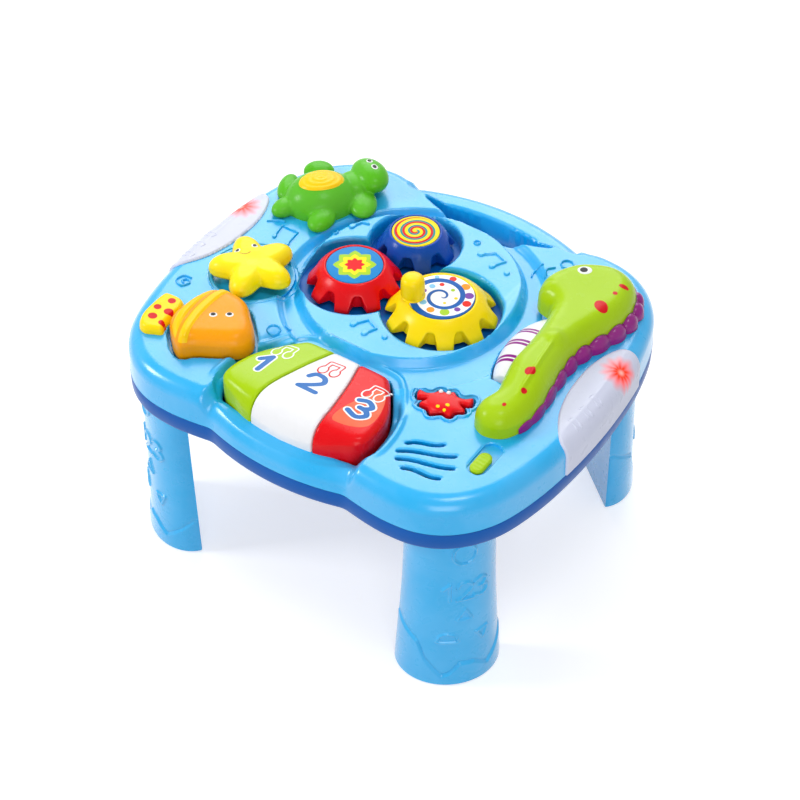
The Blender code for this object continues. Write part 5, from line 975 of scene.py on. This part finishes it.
PANEL = (
    (27.0, -72.0), (30.0, -61.5), (35.0, -63.0), (40.0, -73.0), (42.6, -84.0), (41.6, -91.5), (36.0, -96.0),
    (28.0, -98.0), (23.6, -96.5), (23.4, -86.0),
)
for name, place, finish, sign, spot, ends, slot in (
    ("left", -1, lime, "1", (-33.0, -88.0), (-50.0, 0.5), "lime_abs"),
    ("middle", 0, white, "2", (-1.0, -86.0), (-22.0, 22.0), "white_abs"),
    ("right", 1, red, "3", (31.5, -88.0), (-0.5, 50.0), "red_abs"),
):
    body = name + "_key"
    cap = pad(key_form(place), (ends[0], -115.0), (ends[1], -46.0), 0.7, key_height,
              ((0.15, under(key_height, 1.2)), (0.25, KEY_FOOT)), trim=0.15)
    made(body + "_cap", [cap], finish, body, (body,), slot, 50.0)
    for part, half, lift, ink in (("_number_edge", 2.6, 0.05, white_ink), ("_number", 1.6, 0.10, blue_ink)):
        made(body + part, [inked(number(sign, *spot, DIGIT, half), spot, 20, key_height, lift)], ink, body)
    x, y = spot[0] + 1.0 - 2 * place, spot[1] + 20.5
    made(body + "_note", [inked(key_note(x, y), (x, y + 4), 13, key_height, 0.06)],
         red_ink if place == 0 else white_ink, body)
panel = inked(closed_form(spline(PANEL, 8)), (32, -76), 30, key_height, 0.03, 0.6)
made("right_key_panel", [panel], coral_ink, "right_key")


# Seahorse

def seahorse_face(x, y, *_):
    """Pillow of depth over 11.5 mm, lower to the tail, with a cheek, a mouth and a ridge down the trunk."""
    tall = 18.6 - 3.6 * step((-8.0 - y) / 45.0)
    z = 150.4 + tall * (0.28 + 0.72 * pillow(-seahorse_form(x, y), 11.5, 2.3))
    z = z + 1.8 * bell(np.hypot((x - 95.0) / 8.0, (y - 13.0) / 7.5))
    spine = np.interp(y, (-40.0, -18.0, 0.0, 12.0), (101.0, 99.0, 97.0, 95.5))
    z = z + 1.0 * bell((x - spine) / 1.9) * step((12.0 - y) / 8.0) * step((y + 40.0) / 14.0)
    mouth = np.hypot((x - 66.0) / 9.0, (y - 50.0) / 3.0)
    return z - 0.7 * bell((mouth - 1.0) / 0.35) * step((74.0 - x) / 8.0)


def beaded_ridge():
    """A band along the back, swollen into twelve beads: its width and height follow the size of a sine's waves,
    and across it falls like a superellipse."""
    count = len(seahorse_outline)
    back = seahorse_outline[int(count * 0.60):int(count * 0.97) + 1][::-1]
    t = np.linspace(0.0, 1.0, 220)
    back = np.column_stack([np.interp(t * (len(back) - 1), np.arange(len(back)), back[:, i]) for i in (0, 1)])
    along = np.gradient(back, axis=0)
    away = np.column_stack([-along[:, 1], along[:, 0]]) / np.linalg.norm(along, axis=1)[:, None]
    swell = np.sin(math.pi * t ** 0.75) ** 0.7
    beads = np.abs(np.sin(math.pi * 12 * t)) ** 0.8
    width = 6.9 * (1 - 0.55 * t) * (0.25 + 0.75 * swell) * (0.62 + 0.38 * beads)
    across = np.linspace(0.0, 1.0, 15)[:, None]
    rise = 150.3 + (5.6 + 3.0 * beads) * (0.55 + 0.45 * swell) * np.sqrt(np.clip(1 - across**2.6, 0.0, 1.0))
    spread = (back + away * 0.1)[None] + away[None] * (width * across)[..., None]
    return skin(np.concatenate([spread, rise[..., None]], 2)[:, ::-1], closed=False)


def barrel():
    """The drum's radius turned about its own line along Y, with a flat ring at each end."""
    roll = np.linspace(-DRUM_HALF, DRUM_HALF, 57)
    radius = np.concatenate([[2.0, 8.6], drum_reach(DRUM_Y + roll), [8.6, 2.0]])[:, None]
    end = DRUM_HALF + 0.3
    lengthwise = np.concatenate([[-end, -end], roll, [end, end]])[:, None] + DRUM_Y
    x, z = circle(96).T * ((1,), (-1,))
    x, z = radius * x, radius * z
    return skin(np.stack([DRUM_X + x, np.broadcast_to(lengthwise, x.shape), DRUM_Z + z], 2))


SEAHORSE_SPOTS = (
    (103.6, 48.3, 3.7, 4.6, 0.9), (104.8, 62.0, 1.4, 1.4, 0.0), (106.0, 70.0, 2.9, 1.7, 0.2),
    (97.7, -18.2, 2.9, 3.2, 0.0), (102.0, -31.5, 1.6, 1.8, 0.0), (98.0, -45.0, 1.1, 1.2, 0.0),
)
trunk = pad(seahorse_form, (60, -60), (118, 90), 0.6, seahorse_face,
            ((0.18, under(seahorse_face, 0.9)), (0.3, 150.1)), trim=0.25)
made("seahorse_body", [trunk], lime, "table", ("seahorse",), "lime_abs", 60.0)
made("back_ridge", [beaded_ridge()], purple, "table", ("seahorse_ridge",), "purple_abs", 60.0)
made("belly_barrel", [barrel()], belly, "drum", ("belly_drum",), "striped_print")
drops(seahorse_face, SEAHORSE_SPOTS, red_ink, "seahorse_spots", "table", 0.06, 0.0)
drops(seahorse_face, ((81.0, 69.8, 4.1, 3.5, 0.6),), white_ink, "seahorse_eye", "table", 0.08, 0.5)
drops(seahorse_face, ((80.7, 69.2, 2.2, 2.0, 0.6),), black_ink, "seahorse_pupil", "table", 0.70, 0.1)


# Fish

STRIPES, STRIPE_HALF = (0.0, 7.6), 2.8


def stripe_lean(x, y):
    """Place across the stripes: x less a shallow parabola of y."""
    return x + 91.6 - 0.0064 * (y + 65.0) ** 2


def fish_face(x, y, *_):
    """Pillow that is highest behind the head, with two raised stripes that curve across it."""
    depth = -fish_form(x, y)
    z = 148.8 + 13.9 * (0.40 + 0.60 * pillow(depth, 9.5, 2.2))
    bands = bell((stripe_lean(x, y) - STRIPES[0]) / 3.4) + bell((stripe_lean(x, y) - STRIPES[1]) / 3.3)
    return z + 1.0 * np.minimum(bands * 1.6, 1.0) * step(depth / 4.0)


def stripe_form(shift):
    return lambda x, y: np.maximum(np.abs(stripe_lean(x, y) - shift) - STRIPE_HALF, fish_form(x, y) + 1.2)


def tail_face(x, y, *_):
    return 150.4 + 4.8 * pillow(-tail_form(x, y), 2.6)


def tail_domain(x, y):
    return np.maximum(tail_form(x, y), 0.6 - fish_form(x, y))


TAIL_SPOTS = (
    (-107.3, -69.1, 2.4, 2.2, 0), (-110.8, -77.5, 2.3, 2.1, 0), (-103.0, -77.3, 2.9, 2.5, 0),
    (-108.3, -85.0, 2.8, 2.4, 0), (-100.5, -86.5, 2.1, 1.8, 0),
)
fish_rims = ((0.15, under(fish_face, 0.8)), (0.3, 147.2))
made("fish_body", [pad(fish_form, (-102, -101), (-46, -44), 0.6, fish_face, fish_rims, trim=0.2)],
     orange, "fish", ("fish_button",), "orange_abs", 60.0)
stripes = [inked(stripe_form(shift), (-78, -73), 28, fish_face, 0.05) for shift in STRIPES]
made("fish_stripes", stripes, amber, "fish")
eyes(fish_face, "fish", ((-67.4, -66.6), (-74.9, -71.7)), 0.5,
     (2.3, 1.9, 0.06, 0.3), (1.4, 1.2, 0.45, 0.1), (-0.1, 0.1))
made("tail_fin", [pad(tail_domain, (-119, -97), (-94, -60), 0.5, tail_face, ((0.1, 150.1),), trim=0.1)],
     yellow, "table", ("fish_tail",), "yellow_abs", 60.0)
drops(tail_face, TAIL_SPOTS, red_ink, "tail_spots", "table", 0.06, 0.0)


# Star

def star_form(x, y):
    """Five arms: radius from a valley to a point by a raised cosine, the gap scaled back to a distance."""
    u, v = x - STAR[0], y - STAR[1]
    way = np.arctan2(v, u) + math.radians(2.0)
    lift = (0.5 + 0.5 * np.cos(5 * way)) ** 0.8
    return (np.hypot(u, v) - 16.5 - 9.7 * lift) * 0.82


def star_face(x, y, *_):
    """Pillow of depth over 8.5 mm, a little sunk in the middle."""
    reach = np.hypot(x - STAR[0], y - STAR[1])
    return 153.6 + 7.8 * pillow(-star_form(x, y), 8.5, 2.2) - 0.9 * step((8 - reach) / 10)


star_rims = ((0.3, under(star_face, 1.0)), (0.5, 153.6), (0.1, 152.2), (-1.5, 151.6), (-6.0, 151.4))
made("star_body", [pad(star_form, (-116, -48), (-59, 10), 0.6, star_face, star_rims, trim=0.5)],
     lemon, "star", ("star_knob",), "yellow_abs", 60.0)
eyes(star_face, "star", ((-93.2, -9.6), (-99.6, -18.0)), 0.3, (1.9, 1.5, 0.05, 0.2), (1.1, 1.0, 0.3, 0.1))
smile = stroke(((-96.5, -19.5), (-94.4, -19.2), (-92.6, -17.4), (-92.0, -15.4)), 0.28, 6)
made("star_smile", [inked(smile, (-94.5, -17.5), 4, star_face, 0.05, 0.18)], brown_ink, "star")


# Crab

def crab_face(x, y, *_):
    """A low pillow with a dome over its middle."""
    dome = np.clip(1 - np.hypot((x - CRAB[0]) / 10.5, (y - CRAB[1]) / 7.5) ** 2, 0.0, 1.0)
    return 149.7 + 1.9 * pillow(-crab_form(x, y), 1.4) + 1.2 * dome


CRAB_SPOTS = ((66.5, -50.5, 1.2, 1.0, 0), (62.5, -54.0, 1.1, 0.9, 0), (66.8, -54.2, 0.9, 0.8, 0))
made("crab_body", [pad(crab_form, (45, -67), (81, -33), 0.4, crab_face, ((0.1, 147.0),), trim=0.08)],
     red, "crab", ("crab_button",), "red_abs", 60.0)
drops(crab_face, CRAB_SPOTS, yellow, "crab_spots", "crab", 0.05, 0.1)
crab_balls = [ball((x, y, 152.0), (1.2, 1.2, 1.2)) for x, y in ((57.8, -43.4), (61.8, -42.0))]
made("crab_eyes", crab_balls, white_ink, "crab")


# Turtle

FLIPPERS = (
    (1.10, 0.45, 0.60, 0.42, -0.85), (0.58, -0.80, 0.50, 0.36, -1.45), (-0.62, -0.92, 0.43, 0.31, -1.75),
    (-1.10, -0.14, 0.53, 0.28, -1.20), (-0.80, 0.98, 0.42, 0.40, 0.60),
)


def turtle():
    """Balls for the body, head, neck, four flippers and tail, joined to one skin of 0.55 mm cells and eased."""
    parts = [ball(TURTLE, (23.0, 19.5, 16.6), TURTLE_TURN, 0.0, 64), ball(HEAD, HEAD_RADII, HEAD_TURN, 0.0, 56),
             ball((-81.5, 74.0, 156.5), (10.5, 11.5, 7.6), TURTLE_TURN, 0.0, 48)]
    for across, along, length, half, turn in FLIPPERS:
        place = np.add(TURTLE, (across * 21, along * 21, 1.2))
        parts.append(ball(place, (length * 23, half * 22, 5.2), turn))
    piece = made("turtle_body", parts, green, "turtle", ("turtle_button",), "green_abs", 70.0)
    remesh = piece.modifiers.new("skin", "REMESH")
    remesh.mode = "VOXEL"
    remesh.voxel_size = 0.55 * MM
    remesh.use_smooth_shade = True
    ease = piece.modifiers.new("ease", "SMOOTH")
    ease.iterations = 14
    ease.factor = 0.5


def upper(x, y, centre, radii, turn):
    """Height of an ellipsoid's upper half, and the place along its own axes."""
    u, v = placed(np.column_stack([x - centre[0], y - centre[1]]), 0, 0, 1.0, -turn).T
    share = np.clip(1 - (u / radii[0]) ** 2 - (v / radii[1]) ** 2, 0.0, 1.0)
    return centre[2] + radii[2] * np.sqrt(share), u, v


def shell_face(x, y, *_):
    """The body's ellipsoid, a little proud, with rings pressed in like growth lines."""
    z, u, v = upper(x, y, TURTLE, (23.5, 20.0, 17.1), TURTLE_TURN)
    lines = np.hypot(u / 13.6, v / 9.8)
    return z + 0.12 * np.cos(lines * 22.0) - 0.5 * step((lines - 0.9) / 0.1)


def head_face(x, y):
    return upper(x, y, HEAD, HEAD_RADII, HEAD_TURN)[0] + 0.02


turtle()
patch = pad(oval(-93.0, 56.9, 13.8, 9.9, TURTLE_TURN), (-108, 41), (-78, 73), 0.45, shell_face, ((0.1, 163.0),))
made("shell_patch", [patch], amber, "turtle", ("turtle_shell_patch",), "orange_abs", 60.0)
eyes(head_face, "turtle", ((-79.2, 87.8), (-73.2, 84.6)), -0.5,
     (2.3, 1.9, 0.05, 0.35), (1.4, 1.2, 0.45, 0.1), (0.1, -0.2))


# Side windows

edge_steps = np.linalg.norm(np.roll(EDGE, -1, 0) - EDGE, axis=1)
edge_length = np.concatenate([[0], np.cumsum(edge_steps)])
edge_away = grown(EDGE, 1.0) - EDGE


def casing_place(u, v, height):
    """A point on the casing's skin: u along its edge, v up the wall, over the shoulder and in over the deck."""
    total = edge_length[-1]
    foot, away = (
        np.column_stack([np.interp(u % total, edge_length, np.append(values, values[0])) for values in loop.T])
        for loop in (EDGE, edge_away))
    wall = DECK - SHOULDER - SEAM
    bend = np.clip((v - wall) / SHOULDER, 0.0, math.pi / 2)
    flat = np.maximum(v - wall - SHOULDER * math.pi / 2, 0.0)
    inset = DRAFT * np.clip(v / wall, 0.0, 1.0) + SHOULDER * (1 - np.cos(bend)) + flat
    level = SEAM + np.minimum(v, wall) + SHOULDER * np.sin(bend)
    reach = height * np.cos(bend) - inset
    return np.column_stack([foot + away * reach[:, None], level + height * np.sin(bend)])


WINDOW_INNER, PANE_PROUD = 113.5, 1.5


def pane_height(u, v, depth):
    """A pane that stands proud, with a rounded rim and a faint crease along its shoulder."""
    return PANE_PROUD - rounding(depth, 1.2) * 0.9 + 0.35 * bell((v - 26.0) / 1.6) * step((depth - 2) / 3)


def mark_height(u, v, depth):
    return PANE_PROUD + 0.45 * np.sqrt(np.clip(depth / 0.5, 0, 1))


def window_form(side):
    """A window's outline, read where the casing's skin lies over it, down to just above the seam."""
    outline = spline(WINDOW_SHARES, 6, closed=False) * (HALF_WIDTH - WINDOW_INNER, 84.5) + (WINDOW_INNER, -40.5)
    form = closed_form(outline[::side] * (side, 1))

    def inside(u, v):
        spot = casing_place(u.ravel(), v.ravel(), np.zeros(u.size))
        return np.maximum(form(spot[:, 0], spot[:, 1]).reshape(u.shape), 0.4 - v)
    return inside


for name, side in (("left", -1), ("right", 1)):
    start = edge_length[np.argmin(np.hypot(EDGE[:, 0] - side * HALF_WIDTH, EDGE[:, 1] + 45 * side))]
    form = window_form(side)
    glow = moulded(name + "_milky_polystyrene", lit_pane(side), 0.3, 2.0, 0.01, 0.02)
    pane = pad(form, (start - 4, 0.0), (start + 98, 42.0), 0.7, pane_height, ((0.02, 0.3), (0.05, -0.6)),
               casing_place)
    made(name + "_pane", [pane], glow, "table", (name + "_window",), "milky_pane", 60.0)
    marks = []
    for shift in (20.0, 31.0, 42.0):
        at = start + (shift if side > 0 else 90 - shift)
        mark = notes(0.5, ((at, 22.0), (at + 1.0, 28.0), (at + 4.5, 27.0), (at + 3.5, 21.5)))
        marks.append(pad(mark, (at - 9, 16.0), (at + 9, 37.0), 0.4, mark_height, ((0.05, 1.2),), casing_place))
    made(name + "_pane_signs", marks, glow, "table", (), "milky_pane", 60.0)

# Slide switch

switch_form = stadium(*SWITCH)


def slider_face(x, y, *_):
    """A flat knob with a rounded rim and grooves 2.6 mm apart across its middle."""
    off = y - SWITCH[1]
    groove = (0.5 + 0.5 * np.cos(off * TAU / 2.6)) * (np.abs(off) < 5.2)
    return 151.2 - 0.15 * groove - rounding(-switch_form(x, y), 1.4)


thumb = pad(switch_form, (98, -84), (108, -66), 0.35, slider_face, ((0.05, 148.8),), trim=0.1)
made("switch_knob", [thumb], lime, "slider", ("switch_slider",), "lime_abs", 60.0)

# Legs

LEG_TOP, LEG_HALF, LEG_DEPTH = 115.7, 29.5, 25.0
LEG_AXIS, LEG_TURN = (92.8, 83.3), math.radians(48.5)
LEG_TAPER = spline(((0.0, 1.0), (0.03, 1.01), (0.28, 0.955), (0.62, 0.880), (1.0, 0.840)), 10, closed=False)


def leg_relief(s, z):
    """Height of the leg's raised signs and of its wavy cuff, at a place across its face and up it."""
    wave = np.interp(s, (-40, -22, -17, -7, -3, 3.4, 12, 21, 31, 40), (42, 32, 19, 7, 9, 17, 16, 9, 17, 25))
    relief = 1.0 * step((wave - z) / 0.8 + 0.5) - 0.5 * bell((z - wave - 1.4) / 1.2)
    for form in LEG_SIGNS:
        relief = relief + 1.0 * step(-form(s, z) / 0.45 + 0.5)
    return relief


triangle = np.array([(-0.9, -0.6), (0.9, -0.6), (0.1, 0.9), (-0.9, -0.6)])
half_circle = circle(16)[[*range(9), 0]]
LEG_SIGNS = [
    *(number(sign, place, 70.0, 13.5, 0.85) for sign, place in (("1", -4.0), ("2", 6.5), ("3", 17.5))),
    stroke(triangle * 5.6 + (6.0, 57.0), 0.7),
    stroke(triangle @ np.array([(0.4, 0.9), (-0.9, 0.4)]) * 5.0 + (17.5, 38.5), 0.7),
    stroke(half_circle * (6.3, 7.0) + (-4.0, 36.0), 0.7),
    ring(5.7, 106.0, 7.5, 0.75),
]


def leg(across, along):
    """Half-oval rings from the foot up: half width times cosine, depth times sine, each pushed out by the
    relief. The plug over them is the same half oval drawn in on every side, so that it fits its socket."""
    level = np.concatenate([[0.0, 0.25, 0.8], np.linspace(1.5, LEG_TOP, 180)])
    bend = np.linspace(0.0, math.pi, 150)
    size = np.interp(level / LEG_TOP, LEG_TAPER[:, 0], LEG_TAPER[:, 1])
    size[:2] -= (0.03, 0.01)
    across_unit, along_unit = LEG_HALF * np.cos(bend), LEG_DEPTH * np.sin(bend)
    x, y = size[:, None] * across_unit, size[:, None] * along_unit
    arc = np.concatenate([[0.0], np.cumsum(np.hypot(np.diff(across_unit), np.diff(along_unit)))])
    s = (arc - arc[-1] / 2) * (across * along)
    relief = leg_relief(np.broadcast_to(s, x.shape), np.broadcast_to(level[:, None], x.shape))
    relief = relief * np.sin(bend) ** 0.25 * (level > 0.5)[:, None]
    out = np.stack([LEG_DEPTH * np.cos(bend), LEG_HALF * np.sin(bend)])
    out /= np.hypot(*out)
    x, y = x + relief * out[0], y + relief * out[1]
    x = np.concatenate([x, x[:, -1:] * 0.5, x[:, :1] * 0.5], 1)
    y = np.concatenate([y, y[:, -1:] * 0.0, y[:, :1] * 0.0], 1)
    x = np.concatenate([x, np.outer((0.79, 0.79, 0.775), x[-1])])
    y = np.concatenate([y, np.outer((0.57, 0.57, 0.555), y[-1]) + np.array([[4.5], [4.5], [4.65]])])
    level = np.append(level, (LEG_TOP, LEG_TOP + 14.4, LEG_TOP + 14.8))
    xy = placed(np.stack([x, y], 2).reshape(-1, 2), 0, 0, 1.0, LEG_TURN - math.pi / 2) + LEG_AXIS
    xy = xy.reshape(*x.shape, 2) * (across, along) + (0.0, LOBE_MIDDLE)
    rings = np.concatenate([xy, np.broadcast_to(level[:, None, None], (*x.shape, 1))], 2)
    if across * along < 0:
        rings = rings[:, ::-1]
    return skin(rings, low=True, high=True)


for name, across, along in (
    ("front_left_leg", -1, -1), ("front_right_leg", 1, -1), ("rear_left_leg", -1, 1), ("rear_right_leg", 1, 1),
):
    made(name + "_body", [leg(across, along)], light_blue, name, (name,), "light_blue_abs", 50.0)


# Finishes of the solids that stay

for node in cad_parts.values():
    for place in node.material_slots:
        slot = place.material.name.split(".")[0] if place.material else ""
        place.material = SLOT_FINISH.get(slot, light_blue)

# Studio

def seen_rays(tree):
    """1 for the camera's rays and those that metal and clear plastic send on."""
    rays = add(tree, "LightPath").outputs
    bright = add(tree, "Math", (rays["Is Glossy Ray"], rays["Is Transmission Ray"]), operation="MAXIMUM")
    return add(tree, "Math", (rays["Is Camera Ray"], bright), operation="MAXIMUM")


def paper(name, code, lift):
    """Matt white paper: fibres 2 mm long vary its tone a little, and it keeps the table's shadow."""
    material, tree, where = blank(name)
    fibre = add(tree, "TexNoise", {"Vector": where, "Scale": 1000 / 2.0, "Detail": 4.0})
    tone = add(tree, "Mix", (fibre, colour(code), colour("DADADA")), data_type="RGBA")
    strength = add(tree, "Math", (seen_rays(tree), lift), operation="MULTIPLY")
    shader = add(tree, "BsdfPrincipled", {
        "Base Color": tone, "Roughness": 0.9, "Specular IOR Level": 0.1, "Emission Color": (1, 1, 1, 1),
        "Emission Strength": strength})
    add(tree, "OutputMaterial", {"Surface": shader})
    return material


FLOOR_HALF, FLOOR_LEVEL = 3000.0, -0.2
along_floor, across_floor = np.meshgrid(*[np.linspace(-FLOOR_HALF, FLOOR_HALF, 9)] * 2, indexing="ij")
sheet = np.stack([across_floor, along_floor, np.full_like(across_floor, FLOOR_LEVEL)], 2)
made("studio_floor", [skin(sheet, closed=False)], paper("matt_white_paper", "D4D4D6", 0.52), None)

world = bpy.data.worlds.new("studio")
bpy.context.scene.world = world
world.use_nodes = True
tree = world.node_tree
tree.nodes.clear()
soft = add(tree, "Background", ((0.94, 0.97, 1.0, 1.0), 0.42))
ground = add(tree, "Background", ((1.0, 1.0, 1.0, 1.0), 1.0))
add(tree, "OutputWorld", {"Surface": add(tree, "MixShader", (seen_rays(tree), soft, ground))})


def lamp(name, place, size, power):
    """A square soft box that faces the table."""
    light = bpy.data.lights.new(name, "AREA")
    light.size, light.energy = size, power
    holder = bpy.data.objects.new(name, light)
    bpy.context.scene.collection.objects.link(holder)
    across, along, up = np.subtract((0.0, 0.0, 0.13), place)
    holder.location = place
    tilt, turn = math.atan2(math.hypot(across, along), -up), math.atan2(across, -along)
    holder.rotation_euler = (tilt, 0.0, turn + math.pi)


lamp("key_soft_box", (-1.1, -0.75, 0.95), 0.4, 9.5)
lamp("fill_soft_box", (0.8, -1.1, 0.6), 0.7, 6.0)
lamp("rear_soft_box", (-0.55, 0.95, 1.05), 1.1, 13.0)
lamp("top_soft_box", (0.4, -0.2, 1.5), 0.4, 4.0)

camera = bpy.data.cameras.new("camera")
camera.lens, camera.sensor_width = 81.0, 36.0
eye = bpy.data.objects.new("camera", camera)
bpy.context.scene.collection.objects.link(eye)
eye.location = (0.42798, -0.63516, 0.8281)
eye.rotation_euler = (math.radians(90.0 - VIEW_TILT), 0.0, math.radians(VIEW_TURN))
bpy.context.scene.camera = eye
bpy.context.scene.view_settings.view_transform = "Standard"
